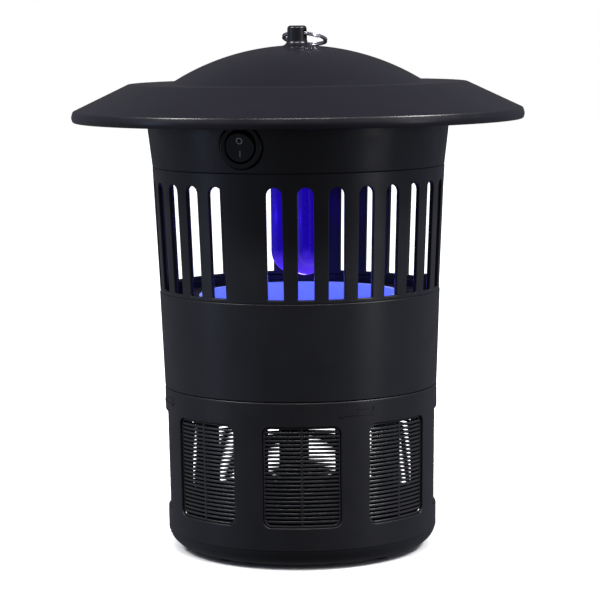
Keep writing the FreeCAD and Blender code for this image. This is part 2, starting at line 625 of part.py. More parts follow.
def make_basket_shell():
    outline = [
        (73.2, BASKET_SPLIT_Z), (BASKET_LOW_R, 13.0), (73.5, 22.4), (BASKET_TOP_R, 79.0),
        (BASKET_TOP_R, BASKET_TOP_Z - 0.5), (BASKET_TOP_R - 0.5, BASKET_TOP_Z), (NECK_R, BASKET_TOP_Z),
        (NECK_R, 97.5), (66.0, 97.5), (66.0, 87.3), (71.9, 87.3), (71.9, 79.0), (71.2, 22.4),
        (71.05, BASKET_SPLIT_Z)]
    lug = revolved([(67.5, 94.9), (71.4, 94.9), (71.4, 97.5), (67.5, 97.5)], 2 * LOCK_HALF_DEG)
    shape = revolved(outline).multiFuse([turned(lug, deg) for deg in BAYONET_DEGS])
    window = window_prism(WINDOW_W / 2, WINDOW_LOW_Z, WINDOW_TOP_Z, 4.0, 60, 85)
    pitch = 360 / WINDOW_COUNT
    return shape.cut(Part.makeCompound([turned(window, pitch * i) for i in range(WINDOW_COUNT)]))


def liner_sector(rib_centre, rib_half):
    """One eighth of the liner: a barred pad that fills its window, and the sleeve."""
    pitch = 360 / WINDOW_COUNT
    sleeve = revolved([(69.8, 16.0), (70.95, 16.0), (71.6, 78.5), (70.4, 78.5)], pitch)
    low_r = 73.5 - BAR_INSET
    top_r = BASKET_TOP_R - BAR_INSET
    pad = revolved([(70.3, 22.4), (low_r, 22.4), (top_r, 78.0), (70.8, 78.0)], pitch)
    inside = window_prism(WINDOW_W / 2 - 0.15, WINDOW_LOW_Z + 0.15, WINDOW_TOP_Z - 0.15, 3.9, 60, 85)
    sector = sleeve.fuse(pad.common(inside))
    slit_w = WINDOW_W / 2 - 1.1
    bars = int((WINDOW_TOP_Z - WINDOW_LOW_Z) / BAR_PITCH)
    first_z = (WINDOW_LOW_Z + WINDOW_TOP_Z - (bars - 1) * BAR_PITCH - BAR_GAP) / 2
    slits = []
    for i in range(bars):
        z = first_z + i * BAR_PITCH
        slits.append(box(-slit_w, rib_centre - rib_half, -80, -60, z, z + BAR_GAP))
        slits.append(box(rib_centre + rib_half, slit_w, -80, -60, z, z + BAR_GAP))
    limit = window_prism(slit_w, WINDOW_LOW_Z + 0.6, WINDOW_TOP_Z - 0.6, 3.4, 60, 85)
    return sector.cut(Part.makeCompound(slits).common(limit))


def make_basket_liner():
    wide_half = BASKET_TOP_R * math.sin(math.radians(WIDE_RIB_DEG / 2))
    narrow = liner_sector(0.0, 0.6)
    wide = liner_sector(4.4, wide_half)
    pitch = 360 / WINDOW_COUNT
    sectors = [turned(wide if i in (3, 4, 5) else narrow, pitch * i) for i in range(WINDOW_COUNT)]
    return fused(sectors)


def make_basket_base():
    bend = V(62.4, 0, 13.0)
    outer_r = bend.z - BASE_Z
    inner_r = outer_r - 2.2
    lip_r = 69.4
    lip_z = bend.z - math.sqrt(inner_r ** 2 - (lip_r - bend.x) ** 2)
    s = math.sin(math.radians(45))
    t = math.radians(26)
    inner_mid = (bend.x + inner_r * math.sin(t), bend.z - inner_r * math.cos(t))
    edges = [
        line((0, BASE_Z), (bend.x, BASE_Z)),
        arc((bend.x, BASE_Z), (bend.x + outer_r * s, bend.z - outer_r * s), (73.2, BASKET_SPLIT_Z)),
        line((73.2, BASKET_SPLIT_Z), (70.9, BASKET_SPLIT_Z)),
        line((70.9, BASKET_SPLIT_Z), (70.9, 15.5)),
        line((70.9, 15.5), (lip_r, 15.5)),
        line((lip_r, 15.5), (lip_r, lip_z)),
        arc((lip_r, lip_z), inner_mid, (bend.x, bend.z - inner_r)),
        line((bend.x, bend.z - inner_r), (0, bend.z - inner_r)),
        line((0, bend.z - inner_r), (0, BASE_Z)),
    ]
    shape = revolved_edges(edges)
    for deg in FEET_DEGS:
        shape = shape.cut(Part.makeCylinder(5.05, 0.6, at(deg, FEET_R, BASE_Z)))
    return shape


def make_basket_feet():
    feet = []
    for deg in FEET_DEGS:
        foot = Part.makeCylinder(5.0, BASE_Z + 0.6, at(deg, FEET_R))
        feet.append(foot.makeChamfer(0.5, [e for e in foot.Edges if e.BoundBox.ZMax < 0.1]))
    return Part.makeCompound(feet)


# ---- leads --------------------------------------------------------------------------
def make_fan_lead():
    climb = [(12.6, 80), (24, 80), (31, 91), (57, 91), (57, 126), (CONDUIT_R, 133)]
    climb += [(CONDUIT_R, 190), (LEAD_HEAD_R, 203), (LEAD_HEAD_R, 216)]
    points = [at(SWITCH_DEG, r, z) for r, z in climb]
    points += [V(-44, -22, 217.5), V(-48, 12, 221), V(-40, 35, 222.5), V(-24, 35, 222.5)]
    return wire_tube(points, LEAD_R)


def make_switch_lead():
    points = [V(-23.5, -48.5, 223), V(-21, -38, 223.5), V(-34, -10, 225)]
    points += [V(-38, 22, 226.5), V(-36, 40.5, 227), V(-24, 40.5, 227)]
    return wire_tube(points, 1.4)


def make_lamp_lead():
    points = [V(-6, 8, 226), V(-6, 8, 233), V(-14, 22, 237), V(-17, 37, 236), V(-17, 37, 230.2)]
    return wire_tube(points, 1.2)


PARTS = {
    "roof_cover": make_roof_cover,
    "roof_screws": make_roof_screws,
    "collar_housing": make_collar_housing,
    "switch_body": make_switch_body,
    "switch_rocker": make_switch_rocker,
    "switch_terminals": make_switch_terminals,
    "cord_gland": make_cord_gland,
    "lamp_holder": make_lamp_holder,
    "holder_screws": make_holder_screws,
    "lamp_base": make_lamp_base,
    "lamp_tubes": make_lamp_tubes,
    "control_board": make_control_board,
    "board_screws": make_board_screws,
    "choke_core": make_choke_core,
    "choke_coil": make_choke_coil,
    "board_capacitor": make_board_capacitor,
    "terminal_block": make_terminal_block,
    "fan_transformer": make_fan_transformer,
    "cage_base_ring": make_cage_base_ring,
    "cage_bars": make_cage_bars,
    "cage_top_ring": make_cage_top_ring,
    "cage_top_screws": make_cage_top_screws,
    "cage_base_screws": make_cage_base_screws,
    "wire_conduit": make_wire_conduit,
    "coated_funnel": make_coated_funnel,
    "fan_housing": make_fan_housing,
    "motor_bracket": make_motor_bracket,
    "bracket_screws": make_bracket_screws,
    "fan_motor": make_fan_motor,
    "motor_screws": make_motor_screws,
    "motor_shaft": make_motor_shaft,
    "fan_impeller": make_fan_impeller,
    "hub_cap": make_hub_cap,
    "hanging_ring": make_hanging_ring,
    "basket_shell": make_basket_shell,
    "basket_liner": make_basket_liner,
    "basket_base": make_basket_base,
    "basket_feet": make_basket_feet,
    "fan_lead": make_fan_lead,
    "switch_lead": make_switch_lead,
    "lamp_lead": make_lamp_lead,
}

for part_name, make_part in PARTS.items():
    save(part_name, make_part())
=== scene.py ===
import math

import bmesh
import bpy
import numpy as np
from mathutils import Matrix, Vector


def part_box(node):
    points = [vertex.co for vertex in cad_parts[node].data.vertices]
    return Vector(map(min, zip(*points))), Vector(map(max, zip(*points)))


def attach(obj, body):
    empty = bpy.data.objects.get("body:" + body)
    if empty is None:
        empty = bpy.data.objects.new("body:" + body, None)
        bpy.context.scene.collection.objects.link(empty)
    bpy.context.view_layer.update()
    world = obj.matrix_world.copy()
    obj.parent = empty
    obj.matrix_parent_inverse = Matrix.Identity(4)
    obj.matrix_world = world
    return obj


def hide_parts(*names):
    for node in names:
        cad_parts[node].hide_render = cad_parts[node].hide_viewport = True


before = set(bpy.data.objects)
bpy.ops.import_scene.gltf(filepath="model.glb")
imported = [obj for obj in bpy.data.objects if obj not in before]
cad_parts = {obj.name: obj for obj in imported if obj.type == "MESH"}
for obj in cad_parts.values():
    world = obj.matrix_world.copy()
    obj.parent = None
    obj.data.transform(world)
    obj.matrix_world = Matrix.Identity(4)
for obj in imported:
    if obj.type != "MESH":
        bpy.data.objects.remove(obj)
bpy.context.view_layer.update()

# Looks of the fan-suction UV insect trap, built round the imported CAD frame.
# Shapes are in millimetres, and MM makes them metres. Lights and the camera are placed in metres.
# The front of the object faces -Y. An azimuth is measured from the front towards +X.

MM = 0.001


def box_mm(node):
    """Lowest and highest corner of a CAD node in millimetres."""
    low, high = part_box(node)
    return [v / MM for v in low], [v / MM for v in high]


# ---- sizes ----
BRIM_R = box_mm("roof_cover")[1][0]
KNOB_TOP_Z = box_mm("roof_cover")[1][2]
CAGE_NODES = ["cage_base_ring", "cage_bars", "cage_top_ring"]
CAGE_LOW_Z = 141.3
CAGE_TOP_Z = box_mm("cage_top_ring")[1][2]
CAGE_TOP_R = 79.2
CAGE_LOW_R = 76.0
CAGE_FOOT_R = 73.4
HOUSING_LOW_Z = 90.0
HOUSING_TOP_R = 76.3
HOUSING_LOW_R = 74.3
COLLAR_TOP_Z = box_mm("collar_housing")[1][2]
COLLAR_R = box_mm("collar_housing")[1][0]
COLLAR_FLARE_Z = 228.0
FUNNEL_LOW_Z = box_mm("coated_funnel")[0][2]
FUNNEL_TOP_Z = box_mm("coated_funnel")[1][2]
FUNNEL_TOP_R = 52.0
DUCT_R = 46.4
DUCT_LOW_Z = 98.0
SHELF_Z = 138.0
LAMP_LOW_Z = 149.5
LAMP_TOP_Z = 203.2
BASE_Z = box_mm("basket_base")[0][2]
BASKET_SPLIT_Z = 11.0
BASKET_TOP_Z = 89.7
BASKET_TOP_R = 74.3
NECK_TOP_Z = box_mm("basket_shell")[1][2]
WALL = 2.4

SLOT_PITCH_DEG = 12.0
SLOT_FIRST_DEG = 2.5
SLOT_COUNT = 30
SLOT_SOLID = 28
SLOT_W = 8.3
SLOT_LOW_Z = 143.5
SLOT_TOP_Z = 201.7

SWITCH_DEG = -21.5
SWITCH_Z = 223.0
SWITCH_FACE = 81.2
BEZEL_R = 11.6
PIVOT_DEPTH = 2.2

WINDOW_COUNT = 8
WINDOW_DEGS = [360 / WINDOW_COUNT * i for i in range(WINDOW_COUNT)]
WINDOW_W = 41.0
WINDOW_LOW_Z = 23.4
WINDOW_TOP_Z = 76.7
WINDOW_CORNER = 4.0
PAD_CORNER = 3.9
SLIT_CORNER = 3.4
SLIT_SHRINK = 1.1
BAR_PITCH = 2.15
BAR_GAP = 0.95
BAR_INSET = 1.2
BAR_DEPTH = 1.6
WIDE_RIB_HALF = 8.67
WIDE_RIB_SHIFT = 4.4
THIN_RIB_HALF = 0.6

RING_R = 11.5
RING_WIRE = 1.9
RING_SHIFT = 0.4
RING_LEAN_DEG = 16.0
RING_HOLE_Z = 279.8
RING_HOLE_R = 2.6
KNOB_R = 5.2
ROCKER_TILT_DEG = 18.0


# ---- mesh helpers ----
def at(deg, r, z=0.0):
    a = math.radians(deg)
    return (r * math.sin(a), -r * math.cos(a), z)


def rounded(points, steps=6):
    """Closed (r, z) outline whose corners are rounded. A point is (r, z) or (r, z, radius)."""
    result = []
    count = len(points)
    for i, point in enumerate(points):
        corner = np.array(point[:2], float)
        radius = point[2] if len(point) > 2 else 0.0
        if radius == 0.0:
            result.append(tuple(corner))
            continue
        before = np.array(points[i - 1][:2], float) - corner
        after = np.array(points[(i + 1) % count][:2], float) - corner
        before /= np.linalg.norm(before)
        after /= np.linalg.norm(after)
        half = math.acos(float(np.clip(before @ after, -1, 1))) / 2
        reach = radius / math.tan(half)
        middle = (before + after) / np.linalg.norm(before + after)
        centre = corner + middle * radius / math.sin(half)
        first = corner + before * reach - centre
        last = corner + after * reach - centre
        sweep = math.pi - 2 * half
        turn = np.sign(first[0] * last[1] - first[1] * last[0])
        for k in range(steps + 1):
            a = turn * sweep * k / steps
            c = math.cos(a)
            s = math.sin(a)
            spun = (first[0] * c - first[1] * s, first[0] * s + first[1] * c)
            result.append((centre[0] + spun[0], centre[1] + spun[1]))
    return result


def finish_mesh(name, bm, body, material, node=None, sharp_deg=38.0, weld=0.002):
    """Mesh in millimetres to an object in metres that rides on a body."""
    bmesh.ops.remove_doubles(bm, verts=bm.verts, dist=weld)
    bmesh.ops.dissolve_degenerate(bm, edges=bm.edges, dist=weld / 2)
    bmesh.ops.recalc_face_normals(bm, faces=bm.faces)
    mesh = bpy.data.meshes.new(name)
    bm.to_mesh(mesh)
    bm.free()
    mesh.transform(Matrix.Scale(MM, 4))
    mesh.shade_smooth()
    mesh.set_sharp_from_angle(angle=math.radians(sharp_deg))
    obj = bpy.data.objects.new(name, mesh)
    bpy.context.scene.collection.objects.link(obj)
    obj.data.materials.append(material)
    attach(obj, body)
    nodes = [node] if isinstance(node, str) else node or []
    if nodes:
        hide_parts(*nodes)
    return obj


def weighted(obj):
    """Lets the large faces set the shading, so that rounded edges look crisp."""
    modifier = obj.modifiers.new("weighted normals", "WEIGHTED_NORMAL")
    modifier.keep_sharp = True
    modifier.weight = 80
    return obj


def add_strip(bm, rows, closed_rows=False, closed_columns=False):
    """Quads between rows of points. Each row has as many points as the others."""
    grid = [[bm.verts.new(p) for p in row] for row in rows]
    row_count = len(grid)
    column_count = len(grid[0])
    for i in range(row_count if closed_rows else row_count - 1):
        a = grid[i]
        b = grid[(i + 1) % row_count]
        for j in range(column_count if closed_columns else column_count - 1):
            k = (j + 1) % column_count
            bm.faces.new((a[j], a[k], b[k], b[j]))


def add_lathe(bm, outline, segments=192):
    """Outline turned right round the Z axis. It is closed, unless it starts and ends on the axis."""
    rows = [[at(360 * i / segments, r, z) for r, z in outline] for i in range(segments)]
    on_axis = outline[0][0] == 0.0 and outline[-1][0] == 0.0
    add_strip(bm, rows, closed_rows=True, closed_columns=not on_axis)


def add_turned(bm, centre, outline, segments=36):
    """Small solid of revolution round an upright line. Its outline starts and ends on that line."""
    rows = []
    for i in range(segments):
        ring = [at(360 * i / segments, r, z) for r, z in outline]
        rows.append([(p[0] + centre[0], p[1] + centre[1], p[2]) for p in ring])
    add_strip(bm, rows, closed_rows=True)


def add_pillar(bm, centre, radius, z0, z1):
    outline = rounded([(0.0, z0), (radius, z0, 0.3), (radius, z1, 0.3), (0.0, z1)], 3)
    add_turned(bm, centre, outline)


def add_capped(bm, rows):
    """Closed solid between rows of points that each go right round it."""
    add_strip(bm, rows, closed_columns=True)
    for row in (rows[0], rows[-1]):
        bm.faces.new([bm.verts.new(p) for p in row])


def add_arc_block(bm, deg, half_deg, outline, steps=10):
    """Part of a solid of revolution, about an azimuth."""
    rows = []
    for k in range(steps + 1):
        rows.append([at(deg - half_deg + 2 * half_deg * k / steps, r, z) for r, z in outline])
    add_capped(bm, rows)


def add_lug(bm, deg, half_w, r0, r1, z0, z1):
    """Upright block with rounded corners that faces an azimuth."""
    plan = rounded([(-half_w, -r0, 0.8), (half_w, -r0, 0.8), (half_w, -r1), (-half_w, -r1)], 4)
    rows = [[(x, y, z) for x, y in plan] for z in (z0, z1)]
    add_capped(bm, [turn_points(row, deg) for row in rows])


def bored(obj, centre, axis, radius, length, name):
    """Cuts a round hole, and applies the cut."""
    bm = bmesh.new()
    bmesh.ops.create_cone(
        bm, cap_ends=True, segments=64, radius1=radius * MM, radius2=radius * MM, depth=length * MM)
    mesh = bpy.data.meshes.new(name)
    bm.to_mesh(mesh)
    bm.free()
    cutter = bpy.data.objects.new(name, mesh)
    turn = Vector(axis).to_track_quat("Z", "Y").to_matrix().to_4x4()
    cutter.matrix_world = Matrix.Translation(Vector(centre) * MM) @ turn
    bpy.context.scene.collection.objects.link(cutter)
    modifier = obj.modifiers.new("bore", "BOOLEAN")
    modifier.operation = "DIFFERENCE"
    modifier.object = cutter
    modifier.solver = "EXACT"
    bpy.context.view_layer.update()
    cut = bpy.data.meshes.new_from_object(obj.evaluated_get(bpy.context.evaluated_depsgraph_get()))
    obj.modifiers.remove(modifier)
    obj.data = cut
    bpy.data.objects.remove(cutter)
    return obj


def on_surface(x, z, radius):
    """Point of a surface of revolution that faces the front, x to the right of its middle."""
    return (x, -math.sqrt(radius * radius - x * x), z)


def turn_points(points, deg):
    a = math.radians(deg)
    c = math.cos(a)
    s = math.sin(a)
    return [(p[0] * c - p[1] * s, p[0] * s + p[1] * c, p[2]) for p in points]


def rounded_loop(half_w, z0, z1, low_r, top_r, grow=0.0, arc_steps=8, side_steps=8, end_steps=6):
    """Outline of a window, as (x, z) points anticlockwise from the middle of its bottom edge.

    Also gives the places of its right-hand corners in that list, and how many points its right half has.
    """
    low_r += grow
    top_r += grow
    half_w += grow
    z0 -= grow
    z1 += grow
    right = []
    flat_low = half_w - low_r
    flat_top = half_w - top_r
    right += [(flat_low * k / end_steps, z0) for k in range(end_steps)]
    right += [(flat_low + low_r * math.sin(a), z0 + low_r - low_r * math.cos(a))
              for a in (math.pi / 2 * k / arc_steps for k in range(arc_steps + 1))]
    side = z1 - top_r - z0 - low_r
    right += [(half_w, z0 + low_r + side * k / side_steps) for k in range(1, side_steps)]
    right += [(flat_top + top_r * math.cos(a), z1 - top_r + top_r * math.sin(a))
              for a in (math.pi / 2 * k / arc_steps for k in range(arc_steps + 1))]
    right += [(flat_top * (1 - k / end_steps), z1) for k in range(1, end_steps + 1)]
    left = [(-x, z) for x, z in reversed(right[1:-1])]
    low_corner = end_steps + arc_steps // 2
    return right + left, (low_corner, len(right) - 1 - low_corner, len(right))


def window_loop(half_w, z0, z1, low_r, top_r, *steps):
    """Function that gives a window's outline grown by its lip, and the marks of that outline."""
    def loop_at(grow):
        return rounded_loop(half_w, z0, z1, low_r, top_r, grow, *steps)[0]

    return loop_at, rounded_loop(half_w, z0, z1, low_r, top_r, 0, *steps)[1]


def border_of(loop, marks, half_deg, z0, z1):
    """Point of the sector's border for each point of the loop, as (angle, z)."""
    low_corner, top_corner, right_count = marks
    border = []
    right = loop[:right_count]
    side_low = right[low_corner][1]
    side_top = right[top_corner][1]
    for i, (x, z) in enumerate(right):
        if i <= low_corner:
            border.append((half_deg * x / right[low_corner][0], z0))
        elif i < top_corner:
            border.append((half_deg, z0 + (z1 - z0) * (z - side_low) / (side_top - side_low)))
        else:
            border.append((half_deg * x / right[top_corner][0], z1))
    border += [(-a, z) for a, z in reversed(border[1:-1])]
    return border


def add_pierced_sector(
        bm, centre_deg, half_deg, z_range, outer, inner, loop_at, marks, lip, solid=False, blends=3):
    """One sector of a curved wall, with a window whose edges are rounded, or without one."""
    loop = loop_at(lip)
    border = border_of(loop, marks, half_deg, *z_range)
    lip_steps = 4
    shrinks = (0.66, 0.33, 0.0)

    def face_rows(radius_at):
        rows = []
        for k in range(blends + 1):
            t = k / blends
            row = []
            for (x, z), (deg, border_z) in zip(loop, border):
                z_here = border_z + (z - border_z) * t
                r = radius_at(z_here)
                a = math.radians(deg) * (1 - t) + math.asin(x / radius_at(z)) * t
                row.append((r * math.sin(a), -r * math.cos(a), z_here))
            rows.append(row)
        return rows

    def shrunk_rows(radius_at):
        return [[on_surface(x * s, z, radius_at(z)) for x, z in loop] for s in shrinks]

    outside = face_rows(outer)
    inside = face_rows(inner)
    if solid:
        outside += shrunk_rows(outer)
        inside += shrunk_rows(inner)
        add_strip(bm, [turn_points(row, centre_deg) for row in outside], closed_columns=True)
        add_strip(bm, [turn_points(row, centre_deg) for row in inside], closed_columns=True)
        return
    wall = []
    for k in range(1, lip_steps + 1):
        a = math.pi / 2 * k / lip_steps
        shape = loop_at(lip * (1 - math.sin(a)))
        wall.append([on_surface(x, z, outer(z) - lip * (1 - math.cos(a))) for x, z in shape])
    for k in range(lip_steps, 0, -1):
        a = math.pi / 2 * k / lip_steps
        shape = loop_at(lip * (1 - math.sin(a)))
        wall.append([on_surface(x, z, inner(z) + lip * (1 - math.cos(a))) for x, z in shape])
    rows = outside + wall + inside[::-1]
    add_strip(bm, [turn_points(row, centre_deg) for row in rows], closed_columns=True)


def sector_angles(loop_at, marks, lip, half_deg, top):
    """Angles of the border points along a sector's top or bottom edge."""
    border = border_of(loop_at(lip), marks, half_deg, 0.0, 1.0)
    level = 1.0 if top else 0.0
    return sorted({round(a, 6) for a, z in border if z == level})


def add_edge_rings(bm, centre_deg, angles, outline):
    """Continues a sector's top or bottom edge round an open (r, z) outline."""
    rows = [[at(centre_deg + a, r, z) for a in angles] for r, z in outline]
    add_strip(bm, rows)


def add_sectors(bm, degs, z_range, outer, inner, window, lip, rims, blends, solid=()):
    """Wall of equal sectors with its low and top rim, each given as (angles, outline)."""
    half = 180.0 / len(degs)
    for i, deg in enumerate(degs):
        add_pierced_sector(bm, deg, half, z_range, outer, inner, *window, lip, i in solid, blends)
        for angles, outline in rims:
            add_edge_rings(bm, deg, angles, outline)


def between(z_low, r_low, z_top, r_top):
    """Radius of a cone at a height."""
    return lambda z: float(np.interp(z, (z_low, z_top), (r_low, r_top)))


# ---- material helpers ----
def node_tree(name):
    material = bpy.data.materials.new(name)
    material.use_nodes = True
    tree = material.node_tree
    shader = tree.nodes["Principled BSDF"]
    return material, tree, shader


def noise(tree, scale_mm, detail=3.0, roughness=0.5, stretch=None):
    """Noise in object coordinates whose features are about scale_mm across."""
    nodes = tree.nodes
    coords = nodes.new("ShaderNodeTexCoord")
    source = coords.outputs["Object"]
    if stretch:
        mapping = nodes.new("ShaderNodeMapping")
        mapping.inputs["Scale"].default_value = stretch
        tree.links.new(source, mapping.inputs["Vector"])
        source = mapping.outputs["Vector"]
    texture = nodes.new("ShaderNodeTexNoise")
    texture.inputs["Scale"].default_value = 1.0 / (scale_mm * MM)
    texture.inputs["Detail"].default_value = detail
    texture.inputs["Roughness"].default_value = roughness
    tree.links.new(source, texture.inputs["Vector"])
    return texture.outputs["Fac"]


def ramp(tree, source, low, high, low_at=0.3, high_at=0.7):
    """Colour ramp between two colours or two greys."""
    node = tree.nodes.new("ShaderNodeValToRGB")
    colours = [c if isinstance(c, tuple) else (c, c, c) for c in (low, high)]
    node.color_ramp.elements[0].position = low_at
    node.color_ramp.elements[1].position = high_at
    for element, colour in zip(node.color_ramp.elements, colours):
        element.color = (*colour, 1.0)
    tree.links.new(source, node.inputs["Fac"])
    return node.outputs["Color"]


def vary(tree, shader, socket, source, low, high):
    """Drives a shader's socket through a ramp."""
    tree.links.new(ramp(tree, source, low, high), shader.inputs[socket])


def add_bump(tree, shader, heights):
    """Stacks bumps given as (height source, strength, distance in mm)."""
    normal = None
    for source, strength, distance_mm in heights:
        bump = tree.nodes.new("ShaderNodeBump")
        bump.inputs["Strength"].default_value = strength
        bump.inputs["Distance"].default_value = distance_mm * MM
        tree.links.new(source, bump.inputs["Height"])
        if normal:
            tree.links.new(normal, bump.inputs["Normal"])
        normal = bump.outputs["Normal"]
    tree.links.new(normal, shader.inputs["Normal"])


def plastic(name, dark, light, rough=(0.38, 0.5), grain_mm=0.45, grain=0.25, specular=0.35):
    """Moulded plastic: spark-eroded grain, faint flow clouding, and uneven gloss."""
    material, tree, shader = node_tree(name)
    vary(tree, shader, "Base Color", noise(tree, 38.0, 2.0), dark, light)
    vary(tree, shader, "Roughness", noise(tree, 14.0, 4.0), *rough)
    add_bump(tree, shader, [
        (noise(tree, grain_mm, 2.0), grain, 0.05),
        (noise(tree, 22.0, 1.0), 0.12, 0.12)])
    shader.inputs["Specular IOR Level"].default_value = specular
    return material


def metal(name, colour, rough=(0.18, 0.34), brushed=(1.0, 1.0, 1.0), grain_mm=1.2):
    """Bright metal with drawn lines or fine mottling."""
    material, tree, shader = node_tree(name)
    darker = tuple(c * 0.86 for c in colour)
    vary(tree, shader, "Base Color", noise(tree, 5.0, 3.0), darker, colour)
    vary(tree, shader, "Roughness", noise(tree, grain_mm, 4.0, 0.6, brushed), *rough)
    add_bump(tree, shader, [(noise(tree, grain_mm, 3.0, 0.6, brushed), 0.15, 0.03)])
    shader.inputs["Metallic"].default_value = 1.0
    return material


def glowing(name, colour_at_top, colour_at_bottom, z_bottom, z_top, strength):
    """Emitting surface whose colour changes with height. On the funnel this emission is painted lamplight."""
    material, tree, shader = node_tree(name)
    nodes = tree.nodes
    coords = nodes.new("ShaderNodeTexCoord")
    split = nodes.new("ShaderNodeSeparateXYZ")
    spread = nodes.new("ShaderNodeMapRange")
    spread.inputs["From Min"].default_value = z_bottom * MM
    spread.inputs["From Max"].default_value = z_top * MM
    tree.links.new(coords.outputs["Object"], split.inputs["Vector"])
    tree.links.new(split.outputs["Z"], spread.inputs["Value"])
    colour = ramp(tree, spread.outputs["Result"], colour_at_bottom, colour_at_top, 0.0, 1.0)
    tree.links.new(colour, shader.inputs["Emission Color"])
    shader.inputs["Emission Strength"].default_value = strength
    return material, tree, shader


# ---- materials ----
def lamp_material():
    """Lit tube: deep blue and dimmer above. The brighter violet end at the bend is a painted reflection of
    the lit funnel's light.
    """
    # Painted reflection: the emission turns brighter and violet towards the bend.
    material, tree, shader = glowing(
        "uv_lamp_glass_and_painted_reflection", (0.009, 0.001, 0.25), (0.11, 0.04, 0.95), LAMP_LOW_Z, LAMP_LOW_Z + 13.5, 1.0)
    vary(tree, shader, "Base Color", noise(tree, 9.0, 2.0), (0.01, 0.004, 0.12), (0.02, 0.008, 0.2))
    vary(tree, shader, "Roughness", noise(tree, 6.0), 0.26, 0.36)
    add_bump(tree, shader, [(noise(tree, 7.0, 1.0), 0.1, 0.1)])
    return material


def coating_material():
    """White coating on the funnel. The lamp's blue light falling on it is painted on as a glow that is
    brighter towards the top.
    """
    # Painted lamplight: this emission stands in for the lamp's light on the coating and is brighter nearer
    # the lamp.
    material, tree, shader = glowing(
        "funnel_coating_and_painted_lamplight", (0.10, 0.17, 1.0), (0.06, 0.11, 1.0), FUNNEL_LOW_Z, FUNNEL_TOP_Z, 0.85)
    vary(tree, shader, "Base Color", noise(tree, 12.0, 3.0), (0.50, 0.55, 0.72), (0.62, 0.66, 0.80))
    vary(tree, shader, "Roughness", noise(tree, 5.0), 0.5, 0.7)
    add_bump(tree, shader, [(noise(tree, 0.8, 3.0), 0.3, 0.08)])
    return material


M = {
    "roof": plastic(
        "roof_plastic", (0.0055, 0.0050, 0.0085), (0.0070, 0.0064, 0.0105), (0.27, 0.34),
        grain=0.2, specular=0.5),
    "body": plastic(
        "body_plastic", (0.0100, 0.0103, 0.0130), (0.0125, 0.0129, 0.0160), (0.32, 0.42),
        grain=0.2, specular=0.42),
    "basket": plastic(
        "basket_plastic", (0.0095, 0.0096, 0.0115), (0.0120, 0.0121, 0.0143), (0.33, 0.44),
        grain=0.2, specular=0.40),
    "grille": plastic(
        "grille_plastic", (0.013, 0.013, 0.0138), (0.019, 0.019, 0.0196), (0.2, 0.32),
        grain_mm=0.3, grain=0.15, specular=0.8),
    "inner": plastic(
        "inner_plastic", (0.014, 0.014, 0.016), (0.019, 0.019, 0.021), (0.45, 0.6), grain_mm=0.5, grain=0.35),
    "gloss": plastic(
        "switch_plastic", (0.007, 0.007, 0.008), (0.010, 0.010, 0.011), (0.24, 0.32),
        grain_mm=0.6, grain=0.12),
    "white": plastic(
        "lamp_cap_plastic", (0.72, 0.72, 0.70), (0.80, 0.80, 0.78), (0.3, 0.42), grain_mm=0.6, grain=0.15),
    "grey": plastic(
        "block_plastic", (0.20, 0.21, 0.22), (0.27, 0.28, 0.29), (0.35, 0.5), grain_mm=0.5, grain=0.2),
    "mark": plastic(
        "mark_paint", (0.40, 0.40, 0.41), (0.52, 0.52, 0.53), (0.45, 0.6), grain_mm=0.2, grain=0.2),
    "sheath": plastic(
        "lead_sheath", (0.02, 0.02, 0.022), (0.032, 0.032, 0.034), (0.45, 0.6), grain_mm=0.4, grain=0.3),
    "rubber": plastic(
        "soft_rubber", (0.012, 0.012, 0.012), (0.020, 0.020, 0.020), (0.6, 0.78),
        grain_mm=0.7, grain=0.5, specular=0.3),
    "ferrite": plastic(
        "ferrite", (0.05, 0.05, 0.052), (0.09, 0.09, 0.092), (0.55, 0.75), grain_mm=0.4, grain=0.5),
    "board": plastic(
        "solder_mask", (0.012, 0.085, 0.035), (0.02, 0.12, 0.05), (0.28, 0.4), grain_mm=1.4, grain=0.25),
    "chrome": metal("bright_nickel", (0.62, 0.62, 0.65), (0.16, 0.26)),
    "zinc": metal("zinc_plate", (0.62, 0.63, 0.66), (0.25, 0.42)),
    "brass": metal("tinned_brass", (0.74, 0.62, 0.38), (0.22, 0.38)),
    "copper": metal(
        "enamelled_copper", (0.66, 0.28, 0.12), (0.2, 0.34), brushed=(1.0, 1.0, 9.0), grain_mm=1.0),
    "can": metal(
        "can_aluminium", (0.74, 0.74, 0.76), (0.28, 0.42), brushed=(1.0, 1.0, 0.15), grain_mm=0.8),
    "motor": metal(
        "motor_steel", (0.50, 0.50, 0.52), (0.24, 0.40), brushed=(1.0, 1.0, 0.12), grain_mm=0.9),
    "lamp": lamp_material(),
    "coating": coating_material(),
}

CAD_LOOKS = {
    "roof": ["roof_cover"],
    "body": ["collar_housing", *CAGE_NODES, "fan_housing"],
    "basket": ["basket_shell", "basket_base"],
    "grille": ["basket_liner"],
    "coating": ["coated_funnel"],
    "inner": ["wire_conduit", "motor_bracket", "fan_impeller", "hub_cap"],
    "gloss": ["switch_body", "switch_rocker"],
    "white": ["lamp_holder", "lamp_base"],
    "lamp": ["lamp_tubes"],
    "rubber": ["cord_gland", "basket_feet"],
    "zinc": ["roof_screws", "holder_screws", "board_screws", "cage_top_screws", "cage_base_screws",
             "bracket_screws", "motor_screws", "motor_shaft"],
    "chrome": ["hanging_ring"],
    "motor": ["fan_motor"],
    "brass": ["switch_terminals"],
    "copper": ["choke_coil"],
    "can": ["board_capacitor"],
    "ferrite": ["choke_core"],
    "board": ["control_board"],
    "grey": ["terminal_block", "fan_transformer"],
    "sheath": ["fan_lead", "switch_lead", "lamp_lead"],
}


def dress_cad_nodes():
    """Gives every CAD node its material."""
    for look, nodes in CAD_LOOKS.items():
        for node in nodes:
            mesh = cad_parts[node].data
            mesh.materials.clear()
            mesh.materials.append(M[look])


